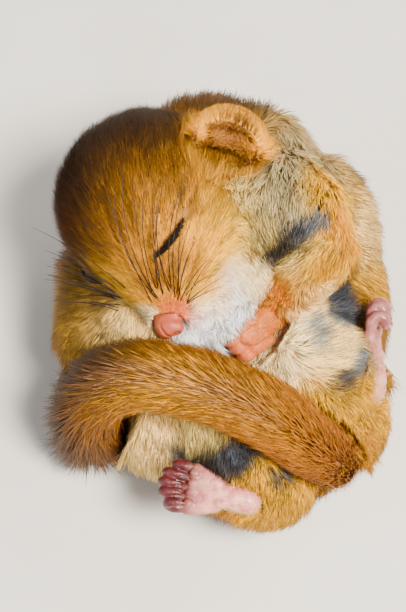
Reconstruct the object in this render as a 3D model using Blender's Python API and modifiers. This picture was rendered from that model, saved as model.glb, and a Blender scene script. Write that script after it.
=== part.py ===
"""Hazel dormouse curled up asleep on its back, life size.

Every shape is worked out in millimetres and turned into metres at the end.
The animal lies with its belly up, its head over its chest, and its tail drawn
up over its belly. Points on it are named as they are seen from above its belly:
across to the right, along towards the crown of its head, and up towards the eye.
"""

import itertools
import math
import random

import bmesh
import bpy
import numpy as np
from mathutils import Matrix, Vector

MM = 0.001

# The viewing direction leans this far above the floor, and the middle of the curled body is this high.
LEAN = math.radians(68)
MIDDLE_HEIGHT = 16.8

GAP = 0.3
# The side of a cutting block, longer than the animal.
REACH = 90.0

# The curled body, from the middle of the belly.
TRUNK_CENTRE = (0.4, 1.3, -4.6)
TRUNK_RADII = (20.5, 19.0, 13.2)
TRUNK_HEADING = (-0.6, 0.8, 0.0)
TRUNK_ACROSS = (0.8, 0.6, 0.0)
# Where the trunk is parted into chest and hindquarters.
TRUNK_PARTING = (2.0, 0.0, -4.6)

# The head: its middle, the way its nose points and its left side.
HEAD_CENTRE = (-8.7, 11.4, 4.4)
HEAD_FORWARD = (0.148, -0.939, 0.312)
HEAD_LEFT = (0.72, 0.32, 0.62)


def seen(across, along, up):
    """A point in the resting frame from its place as seen square on to the belly."""
    return Vector((
        across,
        along * math.sin(LEAN) - up * math.cos(LEAN),
        MIDDLE_HEIGHT + along * math.cos(LEAN) + up * math.sin(LEAN),
    ))


def turned(across, along, up):
    """A direction in the resting frame from the same direction as seen."""
    return (seen(across, along, up) - seen(0, 0, 0)).normalized()


def frame_from(first, second):
    """A turn whose columns are the first direction, the second made square to it, and their cross product."""
    first = first.normalized()
    second = (second - second.dot(first) * first).normalized()
    third = first.cross(second)
    return Matrix((first, second, third)).transposed()


def facing(lengthwise, outward):
    """A turn whose first column runs lengthwise and whose third looks outward."""
    lengthwise = lengthwise.normalized()
    outward = (outward - outward.dot(lengthwise) * lengthwise).normalized()
    return Matrix((lengthwise, outward.cross(lengthwise), outward)).transposed()


HEAD_TURN = frame_from(turned(*HEAD_FORWARD), turned(*HEAD_LEFT))
HEAD_MIDDLE = seen(*HEAD_CENTRE)


def on_head(forward, left, crown):
    """A point in the resting frame from its place on the head."""
    return HEAD_MIDDLE + HEAD_TURN @ Vector((forward, left, crown))


def clear_scene():
    for obj in list(bpy.data.objects):
        bpy.data.objects.remove(obj)
    for name in ("dormouse", "dormouse_cutters"):
        collection = bpy.data.collections.new(name)
        bpy.context.scene.collection.children.link(collection)
    bpy.data.collections["dormouse_cutters"].hide_render = True


def new_object(name, mesh, collection="dormouse_cutters"):
    obj = bpy.data.objects.new(name, mesh)
    bpy.data.collections[collection].objects.link(obj)
    if collection == "dormouse_cutters":
        obj.hide_render = True
        obj.display_type = "WIRE"
    return obj


def baked(obj):
    """Replaces the object's mesh by the one its modifiers give, and drops them."""
    graph = bpy.context.evaluated_depsgraph_get()
    mesh = bpy.data.meshes.new_from_object(obj.evaluated_get(graph))
    obj.modifiers.clear()
    obj.data = mesh
    return obj


def discard(*objects):
    for obj in objects:
        bpy.data.objects.remove(obj)


class Lumps:
    """Overlapping ellipsoids that are fused into one smooth closed body."""

    def __init__(self, detail=3):
        self.shape = bmesh.new()
        self.detail = detail

    def ball(self, centre, radii, turn=None):
        """An ellipsoid with its radii along the columns of turn."""
        if isinstance(radii, (int, float)):
            radii = (radii, radii, radii)
        turn = turn or Matrix.Identity(3)
        place = Matrix.Translation(centre) @ turn.to_4x4() @ Matrix.Diagonal((*radii, 1))
        bmesh.ops.create_icosphere(self.shape, subdivisions=self.detail, radius=1.0, matrix=place)
        return self

    def chain(self, points, radii, count=7):
        """Balls along a path of points, each with its own radius, close enough to fuse into a limb."""
        for (start, end), (wide, narrow) in zip(zip(points, points[1:]), zip(radii, radii[1:])):
            for step in range(count + 1):
                share = step / count
                self.ball(start.lerp(end, share), wide + (narrow - wide) * share)
        return self

    def fused(self, name, cell, smooth=4, triangles=600):
        """The fused body, about as fine as the number of triangles asked for."""
        mesh = bpy.data.meshes.new(name)
        self.shape.to_mesh(mesh)
        self.shape.free()
        obj = new_object(name, mesh)
        remesh = obj.modifiers.new("fuse", "REMESH")
        remesh.mode = "VOXEL"
        remesh.voxel_size = cell
        remesh.use_smooth_shade = True
        if smooth:
            soften = obj.modifiers.new("soften", "SMOOTH")
            soften.factor = 0.5
            soften.iterations = smooth
        baked(obj)
        obj.data.calc_loop_triangles()
        fewer = obj.modifiers.new("fewer", "DECIMATE")
        fewer.ratio = min(1.0, triangles / len(obj.data.loop_triangles))
        fewer.use_collapse_triangulate = True
        return baked(obj)


def boolean(obj, other, operation):
    """The object cut by, joined to or kept only inside another closed mesh.

    It uses the manifold solver, because the exact one leaves the chest and the right upper arm with no faces.
    """
    step = obj.modifiers.new("boolean", "BOOLEAN")
    step.operation = operation
    step.solver = "MANIFOLD"
    step.object = other
    return baked(obj)


def swollen(obj, by):
    """A copy of the object with its surface moved out along its normals."""
    copy = new_object(obj.name + "_swollen", obj.data.copy())
    swell = copy.modifiers.new("swell", "DISPLACE")
    swell.mid_level = 0.0
    swell.strength = by
    return baked(copy)


def hull(obj):
    """The object's convex hull in place of its mesh."""
    shape = bmesh.new()
    for vert in obj.data.vertices:
        shape.verts.new(vert.co)
    bmesh.ops.convex_hull(shape, input=shape.verts)
    loose = [vert for vert in shape.verts if not vert.link_faces]
    bmesh.ops.delete(shape, geom=loose, context="VERTS")
    bmesh.ops.recalc_face_normals(shape, faces=shape.faces)
    mesh = bpy.data.meshes.new(obj.name)
    shape.to_mesh(mesh)
    shape.free()
    obj.data = mesh
    return obj


def largest_body(obj):
    """Keeps the largest closed surface of the object."""
    shape = bmesh.new()
    shape.from_mesh(obj.data)
    left = set(shape.verts)
    bodies = []
    while left:
        body = set()
        edge = [left.pop()]
        while edge:
            vert = edge.pop()
            body.add(vert)
            for link in vert.link_edges:
                other = link.other_vert(vert)
                if other in left:
                    left.discard(other)
                    edge.append(other)
        bodies.append(body)
    bodies.sort(key=len)
    for body in bodies[:-1]:
        bmesh.ops.delete(shape, geom=list(body), context="VERTS")
    shape.to_mesh(obj.data)
    shape.free()
    return obj


def slab(name, centre, turn, size):
    """A box cutter of a given size, turned, with its middle at centre."""
    shape = bmesh.new()
    place = Matrix.Translation(centre) @ turn.to_4x4() @ Matrix.Diagonal((*size, 1))
    bmesh.ops.create_cube(shape, size=1.0, matrix=place)
    mesh = bpy.data.meshes.new(name)
    shape.to_mesh(mesh)
    shape.free()
    return new_object(name, mesh)


# The head

def make_head():
    lumps = Lumps(detail=4)
    lumps.ball(on_head(-0.9, 0.2, 0.1), (10.6, 10.8, 10.2), HEAD_TURN)
    lumps.chain([on_head(3.0, 0, -0.4), on_head(8.4, 0, -1.3), on_head(12.0, 0, -2.0)], [8.3, 5.2, 3.1])
    for side in (1, -1):
        lumps.ball(on_head(4.2, 5.4 * side, -3.8), 6.2)
        lumps.ball(on_head(7.6, 3.2 * side, -3.6), 4.6)
        lumps.ball(on_head(12.0, 1.6 * side, -2.9), 2.4)
    return lumps.fused("head", cell=0.7, smooth=6, triangles=900)


def make_nose():
    lumps = Lumps()
    lumps.ball(on_head(13.7, 0, -0.6), (1.6, 1.6, 1.3), HEAD_TURN)
    for side in (1, -1):
        lumps.ball(on_head(14.3, 0.8 * side, -1.0), 0.95)
    nose = lumps.fused("nose", cell=0.22, smooth=2, triangles=200)
    for side in (1, -1):
        pit = Lumps(detail=2).ball(on_head(15.2, 1.0 * side, -1.0), (0.75, 0.34, 0.42), HEAD_TURN)
        pit = pit.fused("nostril", cell=0.12, smooth=0, triangles=60)
        boolean(nose, pit, "DIFFERENCE")
        discard(pit)
    return nose


def make_jaw():
    lumps = Lumps()
    lumps.chain([on_head(5.5, 0, -7.2), on_head(9.0, 0, -6.2), on_head(12.2, 0, -5.2)], [3.6, 3.0, 1.7])
    return lumps.fused("lower_jaw", cell=0.4, smooth=3, triangles=200)


EYE_PLACE = (6.0, 5.4, 2.8)
EYE_RADII = (3.1, 2.5, 2.0)
# The slit between the lids: half its length, its sag, and the half width of the bulge that it follows.
SLIT_HALF_LENGTH = 3.0
SLIT_SAG = 0.55
SLIT_BULGE = 3.6
SLIT_RADII = (0.4, 0.22, 0.7)
SLIT_STEPS = 6


def make_eye(side):
    """The bulge of a closed eye, with the slit between its lids as a groove."""
    forward, left, crown = EYE_PLACE
    centre = on_head(forward, left * side, crown)
    outward = (HEAD_TURN @ Vector((0.42, 0.68 * side, 0.60))).normalized()
    slit_line = HEAD_TURN @ Vector((-0.58, 0.75 * side, -0.32))
    turn = facing(slit_line - slit_line.dot(outward) * outward, outward)
    name = "eye_left" if side > 0 else "eye_right"
    eye = Lumps().ball(centre, EYE_RADII, turn).fused(name, cell=0.3, smooth=2, triangles=160)
    slit = Lumps(detail=3)
    for step in range(-SLIT_STEPS, SLIT_STEPS + 1):
        share = step / SLIT_STEPS
        along = SLIT_HALF_LENGTH * share
        sag = -SLIT_SAG * (1 - share * share)
        rise = EYE_RADII[2] * math.sqrt(1 - (along / SLIT_BULGE) ** 2)
        slit.ball(centre + turn @ Vector((along, sag, rise)), SLIT_RADII, turn)
    slit = slit.fused("slit", cell=0.14, smooth=1, triangles=110)
    boolean(eye, slit, "DIFFERENCE")
    discard(slit)
    return eye


# An ear: the radii of its cup and of the hollow in it, where the hollow's middle lies, which leaves the
# rim open towards the cheek, and how much wider than the cup its room is.
EAR_RADII = (3.8, 4.6, 2.5)
HOLLOW_RADII = (3.1, 3.7, 2.5)
HOLLOW_PLACE = Vector((-1.1, 0.3, 1.5))
EAR_CLEARANCE = 0.4


def make_ear(name, centre, outward, tip):
    """A rounded cup: an outer ellipsoid with an inner one taken out towards its opening."""
    turn = facing(tip, outward)
    ear = Lumps(detail=4).ball(centre, EAR_RADII, turn).fused(name, cell=0.4, smooth=1, triangles=320)
    hollow = Lumps(detail=4).ball(centre + turn @ HOLLOW_PLACE, HOLLOW_RADII, turn)
    hollow = hollow.fused("hollow", cell=0.35, smooth=1, triangles=220)
    boolean(ear, hollow, "DIFFERENCE")
    discard(hollow)
    return ear


def ear_room(name, centre, outward, tip, depth):
    """The space that an ear and the opening before it need, which no fur beside it closes."""
    turn = facing(tip, outward)
    wide, broad, thick = (radius + EAR_CLEARANCE for radius in EAR_RADII)
    middle = centre + turn @ Vector((0, 0, depth - thick))
    room = Lumps(detail=4).ball(middle, (wide, broad, depth), turn)
    return room.fused(name, cell=0.6, smooth=1, triangles=160)


EARS = [
    ("ear_left", seen(0.6, 19.0, 8.6), turned(0.0, -0.36, 0.93), turned(0.30, 0.92, 0.3), 6.2),
    ("ear_right", on_head(-4.4, -9.8, -2.0), HEAD_TURN @ Vector((0.25, -0.95, -0.1)),
     HEAD_TURN @ Vector((-0.85, -0.25, 0.45)), 3.2),
]


# The trunk

def make_trunk():
    heading = turned(*TRUNK_HEADING)
    turn = frame_from(heading, turned(*TRUNK_ACROSS))
    lumps = Lumps(detail=4)
    lumps.ball(seen(*TRUNK_CENTRE), TRUNK_RADII, turn)
    lumps.ball(seen(8.4, 9.0, -2.5), (10.0, 11.0, 9.6))
    lumps.ball(seen(10.8, -2.0, -1.5), (8.4, 10.0, 8.6))
    lumps.ball(seen(9.4, -14.5, -2.0), (8.5, 7.5, 8.6))
    lumps.ball(seen(2.5, -17.5, -3.5), (8.5, 7.5, 8.5))
    lumps.ball(seen(-6.5, -12.5, -4.5), (7.5, 8.0, 7.5))
    return lumps.fused("trunk", cell=1.0, smooth=16, triangles=900)


def make_neck():
    lumps = Lumps(detail=4)
    lumps.ball(seen(-2.0, 15.8, -3.6), (9.8, 9.8, 9.6))
    lumps.ball(seen(3.0, 15.9, -1.5), (8.4, 8.4, 8.4))
    lumps.ball(seen(-8.5, 9.5, -5.0), (9.6, 9.6, 9.0))
    lumps.ball(seen(0.6, 11.5, 4.2), (6.8, 7.5, 6.8))
    return lumps.fused("neck", cell=0.9, smooth=8, triangles=340)


def make_throat():
    lumps = Lumps()
    lumps.chain([seen(3.4, 3.6, 5.6), seen(0.6, -0.4, 6.2), seen(-2.6, -2.8, 5.4)], [4.6, 4.4, 3.2])
    return lumps.fused("throat", cell=0.6, smooth=6, triangles=160)


# The limbs, each from its root out to its toes

ARM_LEFT = {
    "upper_arm": ([(5.4, 12.6, 4.4), (8.0, 10.4, 5.6), (10.8, 7.4, 5.8)], [6.8, 6.4, 4.6]),
    "forearm": ([(11.6, 6.6, 7.2), (9.0, 3.4, 8.4), (6.4, 0.5, 8.3)], [4.0, 3.5, 2.5]),
}
ARM_RIGHT = {
    "upper_arm": ([(-13.6, 3.5, -3.0), (-14.4, -2.5, -2.4), (-13.8, -8.4, -2.8)], [6.2, 5.8, 4.4]),
    "forearm": ([(-13.4, -8.8, -1.4), (-8.6, -8.0, 1.0), (-3.4, -7.2, 2.6)], [3.8, 3.3, 2.5]),
}
LEG_LEFT = {
    "thigh": ([(12.2, -12.6, 1.0), (11.2, -9.8, 3.6), (9.6, -6.8, 5.0)], [7.2, 6.6, 5.0]),
    "shank": ([(9.2, -3.6, 6.8), (12.8, -5.0, 6.6), (16.2, -7.8, 3.6)], [4.5, 4.2, 2.8]),
}
LEG_RIGHT = {
    "thigh": ([(4.8, -18.6, 0.4), (2.6, -15.0, 2.6), (-0.4, -10.8, 3.0)], [7.0, 6.2, 4.4]),
    "shank": ([(-1.8, -11.4, 2.8), (-1.6, -16.0, 2.6), (2.0, -20.6, 3.6)], [3.9, 3.2, 2.4]),
}


def make_limb(name, path, radii):
    points = [seen(*point) for point in path]
    return Lumps().chain(points, radii).fused(name, cell=0.6, smooth=5, triangles=200)


# Where the fingers lie across a hand, and the pads behind the toes across a foot as shares of its width.
FINGER_PLACES = (-1.65, -0.55, 0.55, 1.65)
PAD_PLACES = (-0.42, -0.14, 0.14, 0.42)
TOE_COUNT = 5


def make_hand(name, wrist, knuckles, palm):
    """A closed hand: its back, and four fingers that curl into the palm."""
    turn = facing(knuckles - wrist, palm)

    def at(along, across, up):
        return wrist + turn @ Vector((along, across, up))

    lumps = Lumps().chain([at(0, 0, 0), at(3.0, 0, 0.2)], [1.9, 2.1], count=4)
    for across in FINGER_PLACES:
        finger = [
            at(2.2, across, 0), at(5.0, across * 1.15, 0), at(5.8, across * 1.1, 1.6), at(4.2, across, 2.4),
        ]
        lumps.chain(finger, [1.2, 0.98, 0.85, 0.7], count=4)
    return lumps.fused(name, cell=0.3, smooth=1, triangles=340)


def make_foot(name, heel, toes, sole, length, width):
    """A foot seen from its sole: heel, sole with its pads, and toes that curl towards the sole."""
    forward = (toes - heel).normalized()
    turn = facing(forward, sole)

    def at(along, across, up):
        return heel + turn @ Vector((along * length, across * width, up))

    lumps = Lumps()
    lumps.chain([at(0.05, 0.0, 0.0), at(0.34, 0.0, 0.0)], [1.65, 1.45], count=4)
    for across in (-0.26, 0.0, 0.26):
        lumps.chain([at(0.34, across * 0.7, 0.0), at(0.66, across * 1.3, 0.0)], [1.2, 1.1], count=4)
    for across in PAD_PLACES:
        lumps.ball(at(0.64, across, 0.7), 0.72)
    lumps.ball(at(0.30, 0.24, 0.85), 0.75)
    lumps.ball(at(0.37, -0.24, 0.8), 0.7)
    for toe in range(TOE_COUNT):
        share = toe / (TOE_COUNT - 1) - 0.5
        reach = 0.90 - 0.5 * share * share
        root = at(0.64, share * 1.0, 0.0)
        knuckle = at(reach, share * 1.15, 0.25)
        tip = at(reach + 0.02, share * 1.05, 1.5)
        lumps.chain([root, knuckle, tip], [0.85, 0.78, 0.62], count=4)
    return lumps.fused(name, cell=0.3, smooth=2, triangles=460)


# The tail

TAIL_PATH = [
    (12.6, -17.2, 0.4),
    (11.8, -16.5, 4.2),
    (9.6, -14.9, 7.6),
    (6.6, -12.6, 10.0),
    (2.2, -10.2, 10.8),
    (-2.8, -8.4, 10.2),
    (-7.8, -7.6, 8.6),
    (-11.8, -8.2, 6.0),
    (-14.4, -9.9, 3.0),
    (-15.6, -12.2, -0.6),
    (-15.6, -14.4, -4.2),
]
# The solid middle of the tail, and how far its hair reaches from the path.
TAIL_CORE_RADII = [3.0, 2.9, 2.7, 2.6, 2.6, 2.6, 2.6, 2.5, 2.3, 1.9, 1.3]
TAIL_HAIR_RADII = [3.6, 3.9, 4.2, 4.3, 4.3, 4.3, 4.4, 4.7, 5.0, 4.8, 4.2]
TAIL_PARTS = {"tail_base": (0, 4), "tail_middle": (4, 7), "tail_tip": (7, 10)}

# The hair of the tail as flat locks in rings: their spacing along the tail, number round it and size.
LOCK_SPACING = 3.6
LOCKS_ROUND = 6
LOCK_LENGTH = 7.0
SHORTEST_LOCK = 3.4
LOCK_WIDTH = 3.3
LOCK_THICKNESS = 1.0
LOCK_ROOT_DEPTH = 1.0
# A lock's sections: how far along it each lies, and its share of the full width there. The tip is a point.
LOCK_SECTIONS = [(0.0, 0.8), (0.35, 1.0), (0.75, 0.68)]


def make_tail():
    """The middle of the tail as one fused body."""
    points = [seen(*point) for point in TAIL_PATH]
    return Lumps().chain(points, TAIL_CORE_RADII, count=4).fused("tail", cell=0.6, smooth=4, triangles=420)


def tail_room():
    """The space that the tail's hair needs, a little above its middle, which no other part fills."""
    points = [seen(across, along, up + 1.0) for across, along, up in TAIL_PATH]
    radii = [radius + 0.3 for radius in TAIL_HAIR_RADII]
    return Lumps().chain(points, radii, count=4).fused("tail_room", cell=0.8, smooth=3, triangles=420)


def part_tail(tail):
    """Cuts the tail across its path into lengths, with a thin gap between them."""
    points = [seen(*point) for point in TAIL_PATH]
    lengths = []
    for name, (first, last) in TAIL_PARTS.items():
        length = new_object(name, tail.data.copy())
        for end, sign in ((first, -1), (last, 1)):
            if end in (0, len(points) - 1):
                continue
            along = (points[end + 1] - points[end - 1]).normalized() * sign
            turn = frame_from(along, Vector((0, 0, 1)))
            block = slab("block", points[end] + along * (REACH / 2 - GAP / 2), turn, (REACH, REACH, REACH))
            boolean(length, block, "DIFFERENCE")
            discard(block)
        lengths.append(largest_body(length))
    discard(tail)
    return lengths


class TailLine:
    """The path of the tail, read by the distance along it, also a little past its end."""

    def __init__(self):
        self.points = [seen(*point) for point in TAIL_PATH]
        steps = [(b - a).length for a, b in zip(self.points, self.points[1:])]
        self.marks = [sum(steps[:count]) for count in range(len(self.points))]
        self.toward = turned(0, 0, 1)

    def at(self, distance):
        """The point, the way along, the radius of the middle and the reach of the hair at a distance."""
        place = max(0.0, min(distance, self.marks[-1]))
        index = max(k for k in range(len(self.marks) - 1) if self.marks[k] <= place)
        share = (place - self.marks[index]) / (self.marks[index + 1] - self.marks[index])
        before = self.points[max(index - 1, 0)]
        start, end = self.points[index], self.points[index + 1]
        after = self.points[min(index + 2, len(self.points) - 1)]
        along = (end - before).normalized().lerp((after - start).normalized(), share).normalized()
        point = start.lerp(end, share) + along * (distance - place)
        core = TAIL_CORE_RADII[index] + (TAIL_CORE_RADII[index + 1] - TAIL_CORE_RADII[index]) * share
        hair = TAIL_HAIR_RADII[index] + (TAIL_HAIR_RADII[index + 1] - TAIL_HAIR_RADII[index]) * share
        return point, along, core, hair

    def frame(self, distance, angle):
        """The point, the ways out from the tail and round it, and its sizes, at an angle from the eye's side."""
        point, along, core, hair = self.at(distance)
        up = (self.toward - self.toward.dot(along) * along).normalized()
        side = along.cross(up)
        out = up * math.cos(angle) + side * math.sin(angle)
        return point, out, along.cross(out), core, hair


def make_lock(line, start, angle, length, width, lift):
    """A flat lock of hair that rises from the tail at its root and then lies along it, to a point."""
    shape = bmesh.new()
    rings = []
    for share, wide in LOCK_SECTIONS + [(1.0, 0.0)]:
        point, out, round_way, core, hair = line.frame(start + length * share, angle)
        root = core - LOCK_ROOT_DEPTH
        rise = root + (hair * lift - root) * (1 - (1 - share) ** 2)
        middle = point + out * rise
        if wide == 0.0:
            rings.append([shape.verts.new(middle)])
            continue
        across = round_way * (width * wide / 2)
        thick = out * (LOCK_THICKNESS * (0.5 + 0.5 * wide) / 2)
        rings.append([shape.verts.new(middle + offset) for offset in (across, thick, -across, -thick)])
    for ring, following in zip(rings, rings[1:]):
        for corner in range(4):
            beside = (corner + 1) % 4
            loop = [ring[corner], ring[beside]]
            loop += [following[beside], following[corner]] if len(following) == 4 else following
            shape.faces.new(loop)
    shape.faces.new(rings[0])
    bmesh.ops.triangulate(shape, faces=shape.faces)
    bmesh.ops.recalc_face_normals(shape, faces=shape.faces)
    mesh = bpy.data.meshes.new("lock")
    shape.to_mesh(mesh)
    shape.free()
    return mesh


def add_locks(lengths):
    """Joins locks of hair to each length of the tail, all round it except where it lies on the body."""
    line = TailLine()
    draw = random.Random(7)
    room = tail_room()
    clear = swollen(room, -GAP)
    for length, (first, last) in zip(lengths, TAIL_PARTS.values()):
        free = length.name == "tail_tip"
        stop = math.inf if free else line.marks[last] - GAP
        begin = line.marks[first] + 0.8
        end = line.marks[last] - (0.5 if free else SHORTEST_LOCK + 0.6)
        rows = round((end - begin) / LOCK_SPACING) + 1
        locks = bpy.data.collections.new(length.name + "_locks")
        bpy.context.scene.collection.children.link(locks)
        for row, spoke in itertools.product(range(rows), range(LOCKS_ROUND)):
            start = begin + (end - begin) * row / (rows - 1)
            angle = 2 * math.pi * (spoke + 0.5 * (row % 2)) / LOCKS_ROUND + draw.uniform(-0.15, 0.15)
            if not free and math.cos(angle) < -0.3:
                continue
            start += draw.uniform(-0.4, 0.4)
            reach = min(LOCK_LENGTH * draw.uniform(0.85, 1.15), stop - start)
            mesh = make_lock(line, start, angle, reach, LOCK_WIDTH * draw.uniform(0.85, 1.15),
                             draw.uniform(0.9, 1.0))
            lock = bpy.data.objects.new("lock", mesh)
            lock.hide_render = True
            lock.display_type = "WIRE"
            locks.objects.link(lock)
            boolean(lock, clear, "INTERSECT")
        joined = length.modifiers.new("locks", "BOOLEAN")
        joined.operation = "UNION"
        joined.solver = "MANIFOLD"
        joined.operand_type = "COLLECTION"
        joined.collection = locks
        baked(length)
        discard(*locks.objects)
        bpy.data.collections.remove(locks)
        largest_body(length)
    discard(room, clear)


def part_trunk(trunk):
    """Cuts the trunk across into chest and hindquarters."""
    heading = turned(*TRUNK_HEADING)
    turn = frame_from(heading, turned(*TRUNK_ACROSS))
    halves = []
    for name, sign in (("chest", -1), ("hindquarters", 1)):
        half = new_object(name, trunk.data.copy())
        middle = seen(*TRUNK_PARTING) + heading * sign * (REACH / 2 - GAP / 2)
        block = slab("block", middle, turn, (REACH, REACH, REACH))
        boolean(half, block, "DIFFERENCE")
        discard(block)
        halves.append(largest_body(half))
    discard(trunk)
    return halves


def box_of(obj):
    """The lowest and highest corner of the object's mesh."""
    corners = np.array([vert.co for vert in obj.data.vertices])
    return corners.min(0), corners.max(0)


def carve(pieces, rooms):
    """Cuts each piece clear of every piece before it, and keeps the gap that touching meshes need.

    A piece with a room of its own keeps the later pieces out of all of that room.
    """
    cutters = []
    for piece in pieces:
        cutter = swollen(piece, GAP)
        if piece.name.startswith(("hand", "foot")):
            hull(cutter)
        if piece.name in rooms:
            boolean(cutter, rooms[piece.name], "UNION")
        low, high = box_of(piece)
        for other, (other_low, other_high) in cutters:
            if (low < other_high).all() and (other_low < high).all():
                boolean(piece, other, "DIFFERENCE")
        largest_body(piece)
        cutters.append((cutter, box_of(cutter)))
    discard(*[cutter for cutter, _ in cutters], *rooms.values())


def is_closed(mesh):
    shape = bmesh.new()
    shape.from_mesh(mesh)
    closed = all(edge.is_manifold for edge in shape.edges)
    shape.free()
    return closed


def lighten(pieces):
    """Drops the triangles that carving crowded together where pieces meet, unless that opens the surface."""
    for piece in pieces:
        share = next((KEPT_SHARE[key] for key in KEPT_SHARE if piece.name.startswith(key)), None)
        if share is None:
            continue
        carved = piece.data
        fewer = piece.modifiers.new("fewer", "DECIMATE")
        fewer.ratio = share
        fewer.use_collapse_triangulate = True
        baked(piece)
        if not is_closed(piece.data):
            piece.data = carved


def rest_on_floor(pieces):
    """Flattens what would reach below the floor, and leaves the lowest flats at one level."""
    floor = slab("floor", Vector((0, 0, -REACH / 2)), Matrix.Identity(3), (REACH, REACH, REACH))
    for piece in pieces:
        if min(vert.co.z for vert in piece.data.vertices) < 0:
            boolean(piece, floor, "DIFFERENCE")
            largest_body(piece)
    discard(floor)


KEPT_SHARE = {
    "head": 0.7, "neck": 0.45, "throat": 0.5, "chest": 0.5, "hindquarters": 0.55, "upper_arm": 0.6,
    "thigh": 0.6, "shank": 0.7,
}
COLOURS = {
    "fur_orange": ((0.60, 0.30, 0.09), 0.85),
    "fur_buff": ((0.66, 0.50, 0.27), 0.85),
    "fur_white": ((0.86, 0.82, 0.72), 0.85),
    "fur_tail": ((0.52, 0.24, 0.06), 0.85),
    "bare_skin": ((0.80, 0.45, 0.42), 0.45),
}
FINISH = {
    "head": "fur_orange", "nose": "bare_skin", "lower_jaw": "fur_buff",
    "ear": "fur_orange", "eye": "fur_orange", "neck": "fur_buff", "throat": "fur_white",
    "chest": "fur_buff", "hindquarters": "fur_buff", "upper_arm": "fur_buff",
    "forearm": "fur_orange", "hand": "bare_skin", "thigh": "fur_buff",
    "shank": "fur_buff", "foot": "bare_skin", "tail": "fur_tail",
}


def material(name):
    found = bpy.data.materials.get(name)
    if found:
        return found
    colour, roughness = COLOURS[name]
    found = bpy.data.materials.new(name)
    found.use_nodes = True
    shader = found.node_tree.nodes["Principled BSDF"]
    shader.inputs["Base Color"].default_value = (*colour, 1)
    shader.inputs["Roughness"].default_value = roughness
    shader.inputs["Metallic"].default_value = 0.0
    return found


def finish(pieces):
    """Brings the pieces to metres, into the model's collection, with their materials."""
    for piece in pieces:
        piece.data.transform(Matrix.Scale(MM, 4))
        bpy.data.collections["dormouse_cutters"].objects.unlink(piece)
        bpy.data.collections["dormouse"].objects.link(piece)
        piece.hide_render = False
        piece.display_type = "TEXTURED"
        kind = max((key for key in FINISH if piece.name.startswith(key)), key=len)
        piece.data.materials.clear()
        piece.data.materials.append(material(FINISH[kind]))
        piece.data.name = piece.name
        piece.data.shade_smooth()
        piece.data.set_sharp_from_angle(angle=math.radians(50))


def make_dormouse():
    clear_scene()
    ears, rooms = [], {}
    for name, centre, outward, tip, depth in EARS:
        ears.append(make_ear(name, centre, outward, tip))
        rooms[name] = ear_room(name + "_room", centre, outward, tip, depth)
    fine = [make_nose(), make_eye(1), make_eye(-1)]
    hands = [
        make_hand("hand_left", seen(5.2, -0.6, 8.5), seen(0.2, -4.8, 7.5), turned(-0.2, 0.3, -0.9)),
        make_hand("hand_right", seen(-4.6, -7.2, 2.6), seen(0.8, -5.4, 3.6), turned(0.2, 0.3, -0.9)),
    ]
    feet = [
        make_foot("foot_left", seen(16.9, -9.3, 4.8), seen(16.3, 1.2, 6.4), turned(0.97, 0.05, 0.15), 10.8, 3.6),
        make_foot("foot_right", seen(3.0, -21.4, 6.0), seen(-7.2, -19.4, 4.8), turned(0.0, 0.25, 0.96), 10.6, 4.2),
    ]
    head = make_head()
    tail = part_tail(make_tail())
    rooms["tail_tip"] = tail_room()
    limbs = []
    for side, arm, leg in (("left", ARM_LEFT, LEG_LEFT), ("right", ARM_RIGHT, LEG_RIGHT)):
        for limb in ("forearm", "upper_arm"):
            limbs.append(make_limb(f"{limb}_{side}", *arm[limb]))
        for limb in ("shank", "thigh"):
            limbs.append(make_limb(f"{limb}_{side}", *leg[limb]))
    order = fine + ears + [head, make_jaw()] + hands + feet + tail + limbs
    order += [make_throat(), make_neck()] + part_trunk(make_trunk())
    carve(order, rooms)
    lighten(order)
    add_locks(tail)
    rest_on_floor(order)
    finish(order)


make_dormouse()
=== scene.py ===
"""The looks of a sleeping hazel dormouse, curled on its back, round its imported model.

Shapes are worked out in millimetres in the resting frame and become metres when
a piece is made. Places on the animal are given as it is seen square on to its
belly: across to the right, along towards the crown, and up towards the eye.
"""

import bpy
import numpy as np
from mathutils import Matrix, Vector


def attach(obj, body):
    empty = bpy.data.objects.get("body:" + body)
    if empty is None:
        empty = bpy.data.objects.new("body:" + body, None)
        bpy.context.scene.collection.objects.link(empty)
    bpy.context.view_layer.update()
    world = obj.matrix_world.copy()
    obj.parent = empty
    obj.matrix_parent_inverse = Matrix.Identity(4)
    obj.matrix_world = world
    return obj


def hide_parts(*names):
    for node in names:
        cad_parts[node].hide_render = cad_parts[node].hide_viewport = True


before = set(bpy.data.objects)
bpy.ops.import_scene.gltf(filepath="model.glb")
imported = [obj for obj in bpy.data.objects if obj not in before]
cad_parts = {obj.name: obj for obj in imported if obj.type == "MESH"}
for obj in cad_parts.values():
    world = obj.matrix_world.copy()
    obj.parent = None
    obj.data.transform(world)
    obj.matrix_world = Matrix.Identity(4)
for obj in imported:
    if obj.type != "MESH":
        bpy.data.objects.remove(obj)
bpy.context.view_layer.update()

MM = 0.001
# The line of sight leans this far above the floor, and the middle of the body is this high.
LEAN = np.radians(68)
MIDDLE_HEIGHT = 16.8


# Directions and places

def unit(vectors):
    """Vectors divided by their own length."""
    return vectors / np.maximum(np.linalg.norm(vectors, axis=-1, keepdims=True), 1e-9)


def seen(places):
    """Points of the resting frame from places seen square on to the belly: the belly's axes turned back
    by their lean above the floor, with the middle of the body lifted to its height."""
    across, along, up = np.moveaxis(np.asarray(places, float), -1, 0)
    away = along * np.sin(LEAN) - up * np.cos(LEAN)
    high = MIDDLE_HEIGHT + along * np.cos(LEAN) + up * np.sin(LEAN)
    return np.stack([across, away, high], -1)


def as_seen(points):
    """Places seen square on to the belly from points of the resting frame: the opposite of seen."""
    away, high = points[..., 1], points[..., 2] - MIDDLE_HEIGHT
    return np.stack([points[..., 0], away * np.sin(LEAN) + high * np.cos(LEAN),
                     high * np.sin(LEAN) - away * np.cos(LEAN)], -1)


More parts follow.
